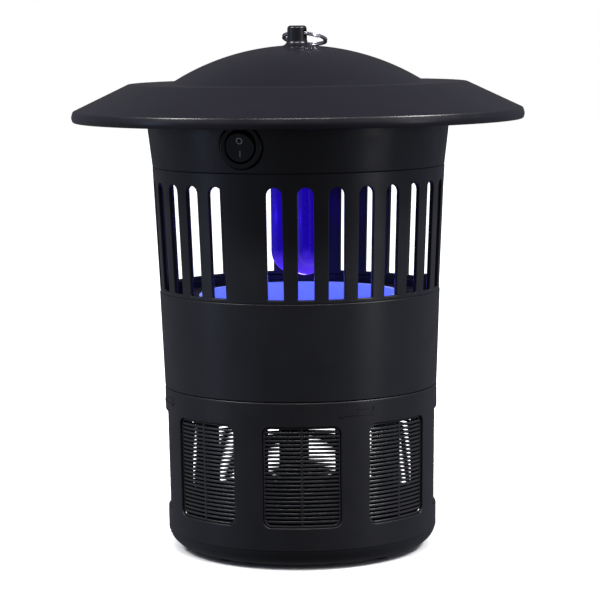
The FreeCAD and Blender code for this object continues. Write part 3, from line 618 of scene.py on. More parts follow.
# ---- roof ----
DOME_TOP_Z = 273.5
DOME_SPHERE_R = 128.3
TERRACE_Z = 253.4
TERRACE_R = 91.6
TERRACE_UNDER_Z = COLLAR_TOP_Z
TERRACE_UNDER_R = 90.8
BRIM_SHOULDER_R = 121.6
BRIM_SHOULDER_Z = 239.2
BRIM_EDGE_Z = 236.0
BRIM_LOW_Z = 233.4
BRIM_LIP_R = 119.3
BRIM_UNDER_R = 116.4
BRIM_UNDER_Z = 238.6
DECK_TOP_Z = CAGE_TOP_Z + 2.5
DECK_R = 77.2
DECK_HOLE_R = 21.0
ROOF_COLUMN_DEGS = (75.0, 135.0, 225.0, 315.0)
ROOF_COLUMN_CIRCLE_R = 66.0
ROOF_COLUMN_R = 4.2
ROOF_COLUMN_TOP_Z = 252.6
RIB_LOW_Z = 245.5
RIB_TOP_Z = 251.2
RIB_INNER_R = 75.6
RIB_OUTER_R = 78.2
HOLE_AXIS = (math.cos(math.radians(SWITCH_DEG)), math.sin(math.radians(SWITCH_DEG)))


def dome_points(sphere_r, r_from, r_to, steps):
    """Points of the dome's arc between two radii."""
    centre_z = DOME_TOP_Z - DOME_SPHERE_R
    radii = [r_from + (r_to - r_from) * k / steps for k in range(steps + 1)]
    return [(r, centre_z + math.sqrt(sphere_r ** 2 - r * r)) for r in radii]


def make_roof():
    """Brim, terrace, dome and knob, hollow below, with the ring's hole through the knob."""
    drop = TERRACE_Z - DOME_TOP_Z + DOME_SPHERE_R
    foot_r = math.sqrt(DOME_SPHERE_R ** 2 - drop ** 2)
    inner_r = DOME_SPHERE_R - WALL
    inner_foot_r = math.sqrt(inner_r ** 2 - (TERRACE_UNDER_Z - DOME_TOP_Z + DOME_SPHERE_R) ** 2)
    dome = dome_points(DOME_SPHERE_R, 10.0, foot_r - 1.2, 44)
    outline = rounded([
        (0.0, KNOB_TOP_Z), (KNOB_R, KNOB_TOP_Z, 1.7), (KNOB_R + 0.3, DOME_TOP_Z - 0.1, 3.2), dome[0]], 8)
    outline += dome[1:]
    outline += rounded([
        (foot_r - 1.2, TERRACE_Z + 0.5), (foot_r, TERRACE_Z, 1.0), (TERRACE_R, TERRACE_Z, 1.6),
        (BRIM_SHOULDER_R, BRIM_SHOULDER_Z, 1.7), (BRIM_R, BRIM_EDGE_Z, 3.5), (121.7, BRIM_LOW_Z, 1.2),
        (BRIM_LIP_R, BRIM_LOW_Z, 0.5), (118.8, 236.8, 2.0), (BRIM_UNDER_R, BRIM_UNDER_Z, 3.0),
        (TERRACE_UNDER_R, TERRACE_UNDER_Z, 2.0), (inner_foot_r, TERRACE_UNDER_Z, 1.0),
        (inner_foot_r - 2.0, TERRACE_UNDER_Z + 1.0)], 7)[1:-1]
    outline += dome_points(inner_r, inner_foot_r - 1.5, 0.0, 24)
    bm = bmesh.new()
    add_lathe(bm, outline, 288)
    roof = finish_mesh("roof_cover_shell", bm, "head", M["roof"], "roof_cover", 34.0)
    bored(roof, (0, 0, RING_HOLE_Z), (*HOLE_AXIS, 0), RING_HOLE_R, 5 * KNOB_R, "knob_hole_cutter")
    roof.data.set_sharp_from_angle(angle=math.radians(34.0))
    return roof


def make_roof_columns():
    """Screw columns and locating rib under the roof."""
    bm = bmesh.new()
    for deg in ROOF_COLUMN_DEGS:
        add_pillar(bm, at(deg, ROOF_COLUMN_CIRCLE_R), ROOF_COLUMN_R, DECK_TOP_Z, ROOF_COLUMN_TOP_Z)
    rib = rounded([
        (RIB_INNER_R, RIB_TOP_Z), (RIB_INNER_R, RIB_LOW_Z, 0.4), (RIB_OUTER_R, RIB_LOW_Z, 0.4),
        (RIB_OUTER_R, RIB_TOP_Z)], 3)
    add_lathe(bm, rib, 160)
    return finish_mesh("roof_columns", bm, "head", M["inner"])


# ---- collar ----
BOARD_POSTS = [(x, y) for x in (-28, 28) for y in (34, 54)]
BOARD_POST_R = 2.8
BOARD_Z = 217.0
COLLAR_SECTORS = 15
GLAND_HOLE_R = 5.0
GLAND_HOLE_LENGTH = 14
GLAND_Y = 79


def make_collar():
    """Collar with the round seat of the switch. Its sectors start at the switch."""
    low_z = CAGE_TOP_Z
    seat_r = BEZEL_R + 0.4
    corner_r = seat_r - 0.01
    lip = 0.5
    outer = between(low_z, CAGE_TOP_R - 0.1, COLLAR_FLARE_Z, COLLAR_R)

    def inner(z):
        return outer(z) - WALL

    window = window_loop(seat_r, SWITCH_Z - seat_r, SWITCH_Z + seat_r, corner_r, corner_r, 12, 2, 1)
    degs = [SWITCH_DEG + 360 / COLLAR_SECTORS * i for i in range(COLLAR_SECTORS)]
    edge = 0.45
    z_range = (low_z + edge, COLLAR_TOP_Z - edge)
    bm = bmesh.new()
    angles = sector_angles(*window, lip, 180 / COLLAR_SECTORS, True)
    low_r = outer(z_range[0])
    low_rim = rounded([
        (low_r, z_range[0]), (low_r, low_z, 0.4), (low_r - WALL, low_z), (low_r - WALL, z_range[0])], 4)
    top_rim = rounded([
        (COLLAR_R, z_range[1]), (COLLAR_R, COLLAR_TOP_Z, 0.4), (COLLAR_R - WALL, COLLAR_TOP_Z),
        (COLLAR_R - WALL, z_range[1])], 4)
    rims = [(angles, low_rim), (angles, top_rim)]
    add_sectors(bm, degs, z_range, outer, inner, window, lip, rims, 5, solid=range(1, COLLAR_SECTORS))
    deck = rounded([
        (DECK_HOLE_R, low_z + 0.1), (DECK_R, low_z + 0.1), (DECK_R, DECK_TOP_Z),
        (DECK_HOLE_R, DECK_TOP_Z, 0.4)], 3)
    add_lathe(bm, deck, 160)
    for x, y in BOARD_POSTS:
        add_pillar(bm, (x, y, 0), BOARD_POST_R, DECK_TOP_Z - 0.3, BOARD_Z)
    collar = finish_mesh("collar_shell", bm, "head", M["body"], "collar_housing")
    bored(collar, (0, GLAND_Y, SWITCH_Z), (0, 1, 0), GLAND_HOLE_R, GLAND_HOLE_LENGTH, "gland_hole_cutter")
    return weighted(collar)


# ---- inlet cage ----
CAGE_LUG_DEGS = (92.5, 200.5, 284.5)
LUG_HALF_W = 3.5
LUG_INNER_R = 65.5
LOW_LUG_TOP_Z = 148.0
TOP_LUG_LOW_Z = 202.0
TOP_LUG_OUTER_R = 76.6
CAGE_SKIRT_R = 71.6


def make_cage():
    """Slotted cage: one sector for each slot, with the plain panel in one slot's place, and screw lugs."""
    outer = between(CAGE_LOW_Z, CAGE_LOW_R, CAGE_TOP_Z, CAGE_TOP_R)

    def inner(z):
        return outer(z) - WALL

    half_w = SLOT_W / 2
    low_corner = 0.35
    top_corner = half_w - 0.01
    lip = 0.55

    window = window_loop(half_w, SLOT_LOW_Z, SLOT_TOP_Z, low_corner, top_corner, 8, 10, 3)
    degs = [SLOT_FIRST_DEG + SLOT_PITCH_DEG * i for i in range(SLOT_COUNT)]
    z_range = (CAGE_LOW_Z + 0.55, CAGE_TOP_Z - 0.6)
    bm = bmesh.new()
    low_angles = sector_angles(*window, lip, SLOT_PITCH_DEG / 2, False)
    top_angles = sector_angles(*window, lip, SLOT_PITCH_DEG / 2, True)
    low_rim = rounded([
        (outer(z_range[0]), z_range[0]), (CAGE_LOW_R, CAGE_LOW_Z, 0.45), (CAGE_FOOT_R, CAGE_LOW_Z),
        (CAGE_FOOT_R, SHELF_Z), (CAGE_SKIRT_R, SHELF_Z), (CAGE_SKIRT_R, CAGE_LOW_Z),
        (inner(z_range[0]), z_range[0])], 4)
    top_rim = rounded([
        (outer(z_range[1]), z_range[1]), (CAGE_TOP_R, CAGE_TOP_Z, 0.5), (CAGE_TOP_R - WALL, CAGE_TOP_Z, 0.3),
        (inner(z_range[1]), z_range[1])], 4)
    rims = [(low_angles, low_rim), (top_angles, top_rim)]
    add_sectors(bm, degs, z_range, outer, inner, window, lip, rims, 2, solid=[SLOT_SOLID])
    for deg in CAGE_LUG_DEGS:
        add_lug(bm, deg, LUG_HALF_W, LUG_INNER_R, CAGE_FOOT_R, SHELF_Z, LOW_LUG_TOP_Z)
        add_lug(bm, deg, LUG_HALF_W, LUG_INNER_R, TOP_LUG_OUTER_R, TOP_LUG_LOW_Z, CAGE_TOP_Z)
    return weighted(finish_mesh("inlet_cage_shell", bm, "head", M["body"], CAGE_NODES))


# ---- fan housing and funnel ----
LOCK_DEGS = (60.0, 180.0, 300.0)
BRACKET_DEGS = (30.0, 150.0, 270.0)
BRACKET_CIRCLE_R = 51.5
BRACKET_BOSS_R = 3.4
BRACKET_BOSS_TOP_Z = 110.0
FUNNEL_SEAT_R = 54.9
SHELF_OUTER_R = 73.6


def make_fan_housing():
    """Plain outer ring, shelf, seat of the funnel, and fan duct, with lock ledges and bracket bosses."""
    outline = rounded([
        (HOUSING_LOW_R, HOUSING_LOW_Z, 0.5), (HOUSING_TOP_R, CAGE_LOW_Z, 0.45),
        (HOUSING_TOP_R - WALL, CAGE_LOW_Z, 0.3), (SHELF_OUTER_R + 0.1, SHELF_Z, 0.2),
        (FUNNEL_SEAT_R, SHELF_Z), (FUNNEL_SEAT_R, SHELF_Z - 0.1), (53.7, SHELF_Z - 0.1),
        (48.3, FUNNEL_LOW_Z - 0.2),
        (DUCT_R, FUNNEL_LOW_Z - 0.2), (DUCT_R, DUCT_LOW_Z, 0.4), (DUCT_R + WALL, DUCT_LOW_Z, 0.4),
        (DUCT_R + WALL, FUNNEL_LOW_Z - 1.6), (FUNNEL_SEAT_R, SHELF_Z - 2.2, 0.5),
        (SHELF_OUTER_R, SHELF_Z - 2.2, 0.5),
        (HOUSING_LOW_R - WALL, HOUSING_LOW_Z, 0.3)], 5)
    bm = bmesh.new()
    add_lathe(bm, outline, 240)
    for deg in LOCK_DEGS:
        add_arc_block(bm, deg, 10.0, [(68.7, 92.0), (72.6, 92.0), (72.6, 94.6), (68.7, 94.6)])
    for deg in BRACKET_DEGS:
        add_pillar(bm, at(deg, BRACKET_CIRCLE_R), BRACKET_BOSS_R, DUCT_LOW_Z, BRACKET_BOSS_TOP_Z)
    return weighted(finish_mesh("fan_housing_shell", bm, "head", M["body"], "fan_housing"))


def make_funnel():
    """Thin coated cone in its seat."""
    outline = rounded([
        (FUNNEL_TOP_R, FUNNEL_TOP_Z, 0.5), (54.8, FUNNEL_TOP_Z, 0.5), (54.8, SHELF_Z), (53.5, SHELF_Z),
        (48.1, FUNNEL_LOW_Z), (DUCT_R, FUNNEL_LOW_Z, 0.25)], 5)
    bm = bmesh.new()
    add_lathe(bm, outline, 200)
    return weighted(finish_mesh("funnel_coated", bm, "head", M["coating"], "coated_funnel"))


# ---- catch basket ----
BASKET_LOW_R = 73.5
TAPER_LOW_Z = 22.4
NECK_OUTER_R = 68.2
NECK_INNER_R = 66.0
SLEEVE_LOW_Z = 16.0
SLEEVE_TOP_Z = 78.5


def shell_outer(z):
    return float(np.interp(z, (13.0, TAPER_LOW_Z, 79.0), (73.4, BASKET_LOW_R, BASKET_TOP_R)))


def shell_inner(z):
    return float(np.interp(z, (BASKET_SPLIT_Z, TAPER_LOW_Z, 79.0), (71.05, 71.2, 71.9)))


def basket_window(shrink, corner):
    """Window loop of the basket, made smaller all round."""
    return window_loop(
        WINDOW_W / 2 - shrink, WINDOW_LOW_Z + shrink, WINDOW_TOP_Z - shrink, corner, corner, 8, 10, 12)


def make_basket_shell():
    """Outer wall with its windows, the neck that goes into the housing, and the lock lugs."""
    window = basket_window(0.0, WINDOW_CORNER)
    lip = 0.6
    z_range = (BASKET_SPLIT_Z + 0.5, BASKET_TOP_Z - 1.2)
    bm = bmesh.new()
    angles = sector_angles(*window, lip, 180 / WINDOW_COUNT, True)
    low_rim = rounded([
        (shell_outer(z_range[0]), z_range[0]), (shell_outer(z_range[0]) - 0.02, BASKET_SPLIT_Z, 0.35),
        (shell_inner(z_range[0]), BASKET_SPLIT_Z), (shell_inner(z_range[0]), z_range[0])], 4)
    top_rim = rounded([
        (BASKET_TOP_R, z_range[1]), (BASKET_TOP_R, BASKET_TOP_Z, 0.7), (NECK_OUTER_R, BASKET_TOP_Z),
        (NECK_OUTER_R, NECK_TOP_Z, 0.5), (NECK_INNER_R, NECK_TOP_Z, 0.5), (NECK_INNER_R, 87.3),
        (shell_inner(z_range[1]), 87.3, 0.5),
        (shell_inner(z_range[1]), z_range[1] - 1.6), (shell_inner(z_range[1]), z_range[1])], 4)
    rims = [(angles, low_rim), (angles, top_rim)]
    add_sectors(bm, WINDOW_DEGS, z_range, shell_outer, shell_inner, window, lip, rims, 4)
    for deg in LOCK_DEGS:
        add_arc_block(bm, deg, 8.0, [
            (67.5, 94.9), (71.4, 94.9), (71.4, NECK_TOP_Z), (67.5, NECK_TOP_Z)])
    return weighted(finish_mesh("basket_shell_body", bm, "basket", M["basket"], "basket_shell"))


pad_outer = between(TAPER_LOW_Z, BASKET_LOW_R - BAR_INSET, 78.0, BASKET_TOP_R - BAR_INSET)
sleeve_outer = between(SLEEVE_LOW_Z, 70.95, SLEEVE_TOP_Z, 71.6)
sleeve_inner = between(SLEEVE_LOW_Z, 69.8, SLEEVE_TOP_Z, 70.4)


def make_sleeve():
    """Thin sleeve inside the shell that carries the barred pads."""
    window = basket_window(SLIT_SHRINK, SLIT_CORNER)
    lip = 0.2
    bm = bmesh.new()
    z_range = (SLEEVE_LOW_Z, SLEEVE_TOP_Z)
    angles = sector_angles(*window, lip, 180 / WINDOW_COUNT, True)
    rims = [(angles, [(sleeve_outer(z), z), (sleeve_inner(z), z)]) for z in z_range]
    add_sectors(bm, WINDOW_DEGS, z_range, sleeve_outer, sleeve_inner, window, lip, rims, 4)
    return weighted(finish_mesh("basket_sleeve", bm, "basket", M["grille"], "basket_liner"))


def make_window_frames():
    """Rim of each pad, standing in its window."""
    outside = basket_window(0.15, PAD_CORNER)[0]
    inside = basket_window(SLIT_SHRINK, SLIT_CORNER)[0]
    edge = 0.25
    bm = bmesh.new()
    for deg in WINDOW_DEGS:
        rows = [
            [on_surface(x, z, sleeve_outer(z) - 0.2) for x, z in outside(0)],
            [on_surface(x, z, pad_outer(z) - edge) for x, z in outside(0)],
            [on_surface(x, z, pad_outer(z)) for x, z in outside(-edge)],
            [on_surface(x, z, pad_outer(z)) for x, z in inside(edge)],
            [on_surface(x, z, pad_outer(z) - edge) for x, z in inside(0)],
            [on_surface(x, z, sleeve_outer(z) - 0.2) for x, z in inside(0)]]
        add_strip(bm, [turn_points(row, deg) for row in rows], True, True)
    return weighted(finish_mesh("window_frames", bm, "basket", M["grille"]))


def bar_section(depth, height):
    """Rounded cross-section of a bar as (inwards, up) offsets from its outer middle."""
    r = 0.28
    corners = [(0, -height / 2, r), (0, height / 2, r), (depth, height / 2, r), (depth, -height / 2, r)]
    return rounded(corners, 3)


def width_at(z, half_w, z0, z1, corner):
    """Half width of a rounded rectangle at a height."""
    edge = min(z - z0, z1 - z)
    if edge >= corner:
        return half_w
    return half_w - corner + math.sqrt(max(corner ** 2 - (corner - edge) ** 2, 0.0))


def make_window_bars():
    """Fine level bars across every window."""
    bars = int((WINDOW_TOP_Z - WINDOW_LOW_Z) / BAR_PITCH)
    first_z = (WINDOW_LOW_Z + WINDOW_TOP_Z - (bars - 1) * BAR_PITCH - BAR_GAP) / 2
    low_z = WINDOW_LOW_Z + SLIT_SHRINK
    top_z = WINDOW_TOP_Z - SLIT_SHRINK
    section = bar_section(BAR_DEPTH, BAR_PITCH - BAR_GAP)
    steps = 14
    bm = bmesh.new()
    for deg in WINDOW_DEGS:
        for i in range(bars - 1):
            z = first_z + BAR_GAP + i * BAR_PITCH + (BAR_PITCH - BAR_GAP) / 2
            reach = width_at(z, WINDOW_W / 2 - SLIT_SHRINK, low_z, top_z, SLIT_CORNER) + 0.3
            rows = []
            for k in range(steps + 1):
                x = -reach + 2 * reach * k / steps
                rows.append([on_surface(x, z + up, pad_outer(z) - inwards) for inwards, up in section])
            add_strip(bm, [turn_points(row, deg) for row in rows], closed_columns=True)
    return weighted(finish_mesh("window_bars", bm, "basket", M["grille"], sharp_deg=50.0, weld=0.0005))


def make_window_ribs():
    """Upright middle rib of each window. The three rear windows have a wide one."""
    bm = bmesh.new()
    z0 = WINDOW_LOW_Z + SLIT_SHRINK - 0.2
    z1 = WINDOW_TOP_Z - SLIT_SHRINK + 0.2
    for deg in WINDOW_DEGS:
        wide = 90 < deg < 270
        centre = WIDE_RIB_SHIFT if wide else 0.0
        half = WIDE_RIB_HALF if wide else THIN_RIB_HALF
        columns = 10 if wide else 2
        xs = [centre - half + 2 * half * k / columns for k in range(columns + 1)]
        outline = [(xs[0], BAR_DEPTH + 0.2), (xs[0], 0.15)]
        outline += [(x, -0.12) for x in np.linspace(xs[0] + 0.2, xs[-1] - 0.2, columns + 1)]
        outline += [(xs[-1], 0.15), (xs[-1], BAR_DEPTH + 0.2)]
        rows = []
        for z in (z0, z1):
            rows.append([on_surface(x, z, pad_outer(z) - inwards) for x, inwards in outline])
        add_strip(bm, [turn_points(row, deg) for row in rows], closed_columns=True)
    return weighted(finish_mesh("window_ribs", bm, "basket", M["grille"]))


def make_basket_base():
    """Rounded bottom with shallow moulded rings on its underside."""
    bend_r = 62.4
    bend_z = 13.0
    rim_outer_r = 70.9
    rim_inner_r = 69.4
    rim_z = 15.5
    outer_r = bend_z - BASE_Z
    inner_r = outer_r - 2.2
    outline = [(0.0, BASE_Z + 0.5), (9.0, BASE_Z + 0.5), (9.5, BASE_Z), (30.0, BASE_Z), (30.5, BASE_Z + 0.6)]
    outline += [(32.5, BASE_Z + 0.6), (33.0, BASE_Z), (49.0, BASE_Z), (bend_r, BASE_Z)]
    limit = math.acos((bend_z - BASKET_SPLIT_Z) / outer_r)
    bend_angles = np.linspace(0.06, limit * 0.985, 16)
    outline += [(bend_r + outer_r * math.sin(a), bend_z - outer_r * math.cos(a)) for a in bend_angles]
    outline += [(73.15, BASKET_SPLIT_Z - 0.05), (72.9, BASKET_SPLIT_Z), (rim_outer_r, BASKET_SPLIT_Z)]
    outline += [(rim_outer_r, rim_z), (rim_inner_r, rim_z)]
    lip = math.asin((rim_inner_r - bend_r) / inner_r)
    bend_angles = np.linspace(lip, 0.0, 8)
    outline += [(bend_r + inner_r * math.sin(a), bend_z - inner_r * math.cos(a)) for a in bend_angles]
    outline += [(0.0, bend_z - inner_r)]
    bm = bmesh.new()
    add_lathe(bm, outline, 240)
    return weighted(finish_mesh("basket_base_dish", bm, "basket", M["basket"], "basket_base", 30.0))


def make_feet():
    """Soft feet with a shallow cup in the middle."""
    top_z = BASE_Z + 0.5
    cup_z = 0.35
    foot_r = 5.0
    circle_r = 57.0
    outline = rounded([
        (0.0, cup_z), (2.4, cup_z, 0.3), (2.9, 0.0, 0.3), (foot_r, 0.0, 0.6), (foot_r, top_z),
        (0.0, top_z)], 4)
    bm = bmesh.new()
    for deg in (45.0, 135.0, 225.0, 315.0):
        add_turned(bm, at(deg, circle_r), outline)
    return finish_mesh("basket_rubber_feet", bm, "basket", M["rubber"], "basket_feet")


def make_lock_marks():
    """Plain raised arrows that show which way the basket turns."""
    bm = bmesh.new()

    def raised(points, centre_deg, z):
        """Flat outline laid on the basket's side and raised a little."""
        rows = []
        for lift in (-0.1, 0.32):
            row = []
            for s, v in points:
                r = shell_outer(z + v) + lift
                row.append(at(centre_deg + math.degrees(s / BASKET_TOP_R), r, z + v))
            rows.append(row)
        low = [bm.verts.new(p) for p in rows[0]]
        top = [bm.verts.new(p) for p in rows[1]]
        for i in range(len(points)):
            k = (i + 1) % len(points)
            bm.faces.new((low[i], low[k], top[k], top[i]))
        bm.faces.new(top)

    def bar(s0, s1, v0, v1, centre_deg, z):
        pieces = max(1, int(abs(s1 - s0) / 2.5))
        for k in range(pieces):
            a = s0 + (s1 - s0) * k / pieces
            b = s0 + (s1 - s0) * (k + 1) / pieces
            raised([(a, v0), (b, v0), (b, v1), (a, v1)], centre_deg, z)

    arrow_z = 82.4
    for centre_deg in (24.0, -75.0):
        bar(-9.0, 8.0, -0.3, 0.3, centre_deg, arrow_z)
        raised([(-9.0, -1.4), (-9.0, 1.4), (-11.6, 0.0)], centre_deg, arrow_z)
        bar(-1.0, 6.0, -0.25, 0.25, centre_deg, arrow_z + 3.0)
        raised([(8.4, -1.1), (10.8, 0.0), (8.4, 1.1)], centre_deg, arrow_z + 2.8)
        raised([(7.6, -0.8), (9.2, -0.8), (9.2, 0.8), (7.6, 0.8)], centre_deg, arrow_z)
    return finish_mesh("twist_lock_marks", bm, "basket", M["basket"], sharp_deg=25.0)


# ---- lamp ----
def make_lamp():
    """Two U-bends, side by side, as smooth swept tubes."""
    radius = 5.0
    circle_r = 10.8
    turn_deg = 16.0
    bend_steps = 24
    ring_points = 32
    bm = bmesh.new()
    for first_deg in (-turn_deg, 180 - turn_deg):
        a = Vector(at(first_deg, circle_r))
        b = Vector(at(first_deg + 90, circle_r))
        bend_r = (b - a).length / 2
        bend_z = LAMP_LOW_Z + radius + bend_r
        along = (b - a).normalized()
        middle = (a + b) / 2
        heights = np.linspace(LAMP_TOP_Z, bend_z, 10)
        path = [(a + Vector((0, 0, z)), Vector((0, 0, -1))) for z in heights[:-1]]
        for k in range(bend_steps + 1):
            t = math.pi * k / bend_steps
            point = middle - along * bend_r * math.cos(t) + Vector((0, 0, bend_z - bend_r * math.sin(t)))
            heading = along * math.sin(t) - Vector((0, 0, math.cos(t)))
            path.append((point, heading))
        heights = np.linspace(bend_z, LAMP_TOP_Z, 10)
        path += [(b + Vector((0, 0, z)), Vector((0, 0, 1))) for z in heights[1:]]
        across = along.cross(Vector((0, 0, 1))).normalized()
        rows = []
        for point, heading in path:
            other = heading.cross(across)
            ring = []
            for k in range(ring_points):
                t = 2 * math.pi * k / ring_points
                ring.append(point + across * radius * math.cos(t) + other * radius * math.sin(t))
            rows.append(ring)
        add_strip(bm, rows, closed_columns=True)
    return finish_mesh("lamp_u_tubes", bm, "head", M["lamp"], "lamp_tubes", 60.0)


# ---- switch ----
def switch_place(right, up, out):
    """Point by the switch: right and up along its face, out from its pivot."""
    y = -(SWITCH_FACE - PIVOT_DEPTH + out)
    return turn_points([(right, y, SWITCH_Z + up)], SWITCH_DEG)[0]


def make_switch_bezel():
    """Round bezel with a rounded outer edge and a step down to the rocker."""
    bore_r = 8.4
    barrel_r = 9.7
    face = PIVOT_DEPTH
    back = face - 12.0
    flange = face - 2.2
    outline = rounded([
        (bore_r, back), (bore_r, face - 0.5, 0.3), (bore_r + 0.7, face, 0.35), (BEZEL_R, face, 0.8),
        (BEZEL_R, flange, 0.2), (barrel_r, flange), (barrel_r, back)], 5)
    bm = bmesh.new()
    rows = []
    for i in range(96):
        t = 2 * math.pi * i / 96
        rows.append([switch_place(r * math.cos(t), r * math.sin(t), out) for r, out in outline])
    add_strip(bm, rows, True, True)
    return weighted(finish_mesh("switch_bezel", bm, "head", M["gloss"], "switch_body"))


def make_switch_marks():
    """O on the raised half of the rocker and I on the pressed half."""
    lift = 0.06
    sunk = -0.1
    rocker_out = 2.5
    tilt = math.tan(math.radians(ROCKER_TILT_DEG))
    o_up = 2.9
    i_up = -3.7
    i_half_w = 0.24
    i_half_length = 1.3
    bm = bmesh.new()

    def on_rocker(right, up, raise_by):
        out = rocker_out + max(up, 0.0) * tilt + raise_by
        return switch_place(right, up, out)

    rows = []
    for i in range(48):
        t = 2 * math.pi * i / 48
        ring = []
        for r, raise_by in ((1.75, sunk), (1.7, lift), (1.25, lift), (1.2, sunk)):
            ring.append(on_rocker(r * math.cos(t), o_up + r * math.sin(t), raise_by))
        rows.append(ring)
    add_strip(bm, rows, True, True)
    rows = []
    for i in range(24):
        t = 2 * math.pi * i / 24
        x = i_half_w * math.cos(t)
        y = i_up + i_half_w * math.sin(t) + (i_half_length if math.sin(t) > 0 else -i_half_length)
        y_middle = np.clip(y, i_up - i_half_length, i_up + i_half_length)
        rows.append([on_rocker(x, y, sunk), on_rocker(x * 0.95, y, lift), on_rocker(0, y_middle, lift)])
    add_strip(bm, rows, True, False)
    return finish_mesh("switch_marks", bm, "rocker", M["mark"])


# ---- hanging ring ----
def make_split_ring():
    """Split ring: two coils of flattened wire that lie on each other."""
    lean = math.radians(RING_LEAN_DEG)
    right = Vector((*HOLE_AXIS, 0))
    level_back = Vector((-HOLE_AXIS[1], HOLE_AXIS[0], 0))
    back = level_back * math.cos(lean) - Vector((0, 0, math.sin(lean)))
    normal = right.cross(back)
    edge = math.sqrt(RING_R ** 2 - (KNOB_R + RING_SHIFT) ** 2)
    centre = right * RING_SHIFT + Vector((0, 0, RING_HOLE_Z)) + back * (RING_R + edge) / 2
    half_pitch = RING_WIRE / 4 + 0.02
    wire_w = 0.85
    wire_h = 0.42
    edge_r = 0.3
    section = rounded([
        (-wire_w, -wire_h, edge_r), (wire_w, -wire_h, edge_r), (wire_w, wire_h, edge_r),
        (-wire_w, wire_h, edge_r)], 4)
    turns = 2.0
    start = math.radians(-28.0)
    steps = 192
    cross_over = 60
    rows = []
    for k in range(steps + 1):
        f = k / steps
        t = start + 2 * math.pi * turns * f
        step = 1 / (1 + math.exp(-(f - 0.5) * cross_over))
        height = half_pitch * (1 - 2 * step)
        out = right * math.cos(t) + back * math.sin(t)
        rows.append([centre + out * (RING_R + u) + normal * (height + v) for u, v in section])
    bm = bmesh.new()
    add_strip(bm, rows, closed_columns=True)
    bm.verts.ensure_lookup_table()
    count = len(section)
    bm.faces.new([bm.verts[i] for i in range(count)])
    bm.faces.new([bm.verts[len(bm.verts) - count + i] for i in range(count)])
    return weighted(finish_mesh("split_ring", bm, "ring", M["chrome"], "hanging_ring", 50.0, 0.0005))


# ---- light, floor, camera ----
WORLD_FRONT = (0.09, 0.09, 0.098)
WORLD_SIDE = (0.215, 0.225, 0.28)
WORLD_TOP = (0.115, 0.115, 0.148)
BLACK = (0.0, 0.0, 0.0)
BODY_MIDDLE = (0, 0, 0.16)
BRIM_MIDDLE = (0, 0, 0.24)
ORIGIN = (0, 0, 0)
SOFTBOX = (0.30, 0.8)
RIM_BOX = (0.36, 0.26)
SMALL_LAMP = (0.004, 0)


def make_floor():
    """Pale floor that lights nothing, so that the black plastic stays as dark as in a studio."""
    material, tree, shader = node_tree("studio_floor")
    vary(tree, shader, "Base Color", noise(tree, 300.0, 2.0), (0.86, 0.86, 0.86), (0.90, 0.90, 0.90))
    vary(tree, shader, "Roughness", noise(tree, 40.0), 0.85, 0.95)
    shader.inputs["Specular IOR Level"].default_value = 0.0
    bm = bmesh.new()
    bmesh.ops.create_grid(bm, x_segments=16, y_segments=16, size=5.0)
    mesh = bpy.data.meshes.new("studio_floor")
    bm.to_mesh(mesh)
    bm.free()
    mesh.materials.append(material)
    floor = bpy.data.objects.new("studio_floor", mesh)
    bpy.context.scene.collection.objects.link(floor)
    floor.visible_diffuse = False
    floor.visible_glossy = False
    return floor


def make_world():
    """White backdrop. The soft light on the object comes mostly from the sides and from above."""
    world = bpy.data.worlds.new("studio_world")
    bpy.context.scene.world = world
    world.use_nodes = True
    tree = world.node_tree
    nodes = tree.nodes
    link = tree.links.new
    nodes.clear()
    coords = nodes.new("ShaderNodeTexCoord")
    split = nodes.new("ShaderNodeSeparateXYZ")
    link(coords.outputs["Generated"], split.inputs["Vector"])
    sideways = nodes.new("ShaderNodeMath")
    sideways.operation = "ABSOLUTE"
    link(split.outputs["X"], sideways.inputs[0])
    side_light = ramp(tree, sideways.outputs["Value"], WORLD_FRONT, WORLD_SIDE, 0.15, 0.95)
    top_light = ramp(tree, split.outputs["Z"], BLACK, WORLD_TOP, 0.1, 1.0)
    total = nodes.new("ShaderNodeVectorMath")
    total.operation = "ADD"
    link(side_light, total.inputs[0])
    link(top_light, total.inputs[1])
    studio = nodes.new("ShaderNodeBackground")
    link(total.outputs["Vector"], studio.inputs["Color"])
    backdrop = nodes.new("ShaderNodeBackground")
    backdrop.inputs["Color"].default_value = (1.0, 1.0, 1.0, 1.0)
    choose = nodes.new("ShaderNodeMixShader")
    ray = nodes.new("ShaderNodeLightPath")
    link(ray.outputs["Is Camera Ray"], choose.inputs["Fac"])
    link(studio.outputs["Background"], choose.inputs[1])
    link(backdrop.outputs["Background"], choose.inputs[2])
    output = nodes.new("ShaderNodeOutputWorld")
    link(choose.outputs["Shader"], output.inputs["Surface"])


def add_light(name, kind, place, aim, energy, colour=(1.0, 1.0, 1.0), size=(1.0, 1.0)):
    data = bpy.data.lights.new(name, kind)
    data.energy = energy
    data.color = colour
    if kind == "AREA":
        data.shape = "RECTANGLE"
        data.size = size[0]
        data.size_y = size[1]
    if kind == "POINT":
        data.shadow_soft_size = size[0]
    light = bpy.data.objects.new(name, data)
    light.location = place
    light.rotation_euler = (Vector(aim) - Vector(place)).to_track_quat("-Z", "Y").to_euler()
    light.visible_camera = False
    bpy.context.scene.collection.objects.link(light)
    return light


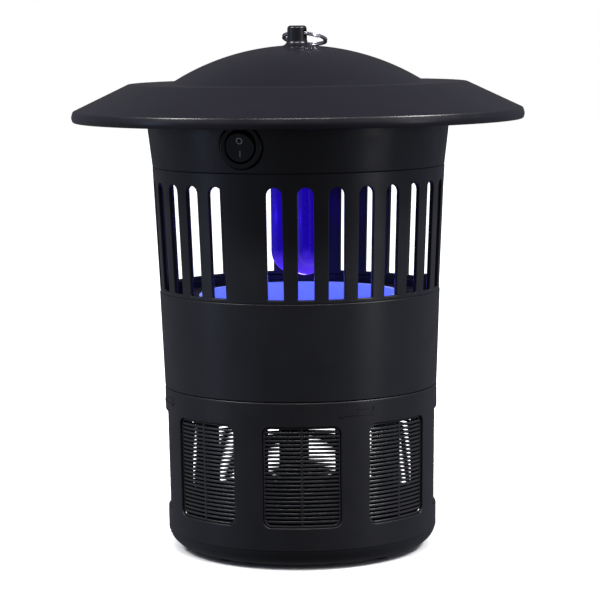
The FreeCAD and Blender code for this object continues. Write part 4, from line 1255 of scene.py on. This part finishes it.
def make_lights(floor):
    """Two tall softboxes, three boxes for the brim's highlight, the lamp's glow, and a sky for the floor."""
    add_light("left_softbox", "AREA", (-1.3, -0.38, 0.25), BODY_MIDDLE, 0.85, (0.55, 0.72, 1.0), SOFTBOX)
    add_light("right_softbox", "AREA", (1.15, -0.7, 0.25), BODY_MIDDLE, 1.45, (0.95, 0.95, 1.0), SOFTBOX)
    add_light("left_rim_box", "AREA", (-1.0, -0.3, 1.2), BRIM_MIDDLE, 13.0, size=RIM_BOX)
    add_light("right_rim_box", "AREA", (1.0, -0.3, 1.2), BRIM_MIDDLE, 18.0, size=RIM_BOX)
    add_light("front_rim_box", "AREA", (0, -1.0, 1.55), BRIM_MIDDLE, 13.0, size=(0.9, 0.16))
    add_light("lamp_glow_low", "POINT", (0, 0, 0.1445), ORIGIN, 0.03, (0.12, 0.10, 1.0), SMALL_LAMP)
    for x, y in ((-0.024, -0.012), (0.024, -0.012), (0, 0.026)):
        name = "lamp_glow_%d_%d" % (x * 1000, y * 1000)
        add_light(name, "POINT", (x, y, 0.180), ORIGIN, 0.012, (0.05, 0.01, 1.0), SMALL_LAMP)
    sun = add_light("floor_sky", "SUN", (0, 0, 3.0), ORIGIN, 4.1)
    sun.data.angle = math.radians(110.0)
    receivers = bpy.data.collections.new("floor_only")
    receivers.objects.link(floor)
    sun.light_linking.receiver_collection = receivers


def make_camera():
    """Long lens from the front, just above the knob, looking slightly down."""
    place = (0.0, -1.3077, 0.2878)
    pitch = 0.1164
    roll = -0.0113
    data = bpy.data.cameras.new("view_camera")
    data.sensor_width = 36.0
    data.lens = 144.54
    camera = bpy.data.objects.new("view_camera", data)
    turn = Matrix.Rotation(math.pi / 2 - pitch, 4, "X") @ Matrix.Rotation(roll, 4, "Z")
    camera.matrix_world = Matrix.Translation(place) @ turn
    bpy.context.scene.collection.objects.link(camera)
    bpy.context.scene.camera = camera


# ---- build ----
dress_cad_nodes()
make_roof()
make_roof_columns()
make_collar()
make_cage()
make_fan_housing()
make_funnel()
make_basket_shell()
make_sleeve()
make_window_frames()
make_window_bars()
make_window_ribs()
make_basket_base()
make_feet()
make_lock_marks()
make_lamp()
make_switch_bezel()
make_switch_marks()
make_split_ring()
make_world()
make_lights(make_floor())
make_camera()
bpy.context.scene.view_settings.view_transform = "Standard"
bpy.context.scene.cycles.caustics_reflective = False
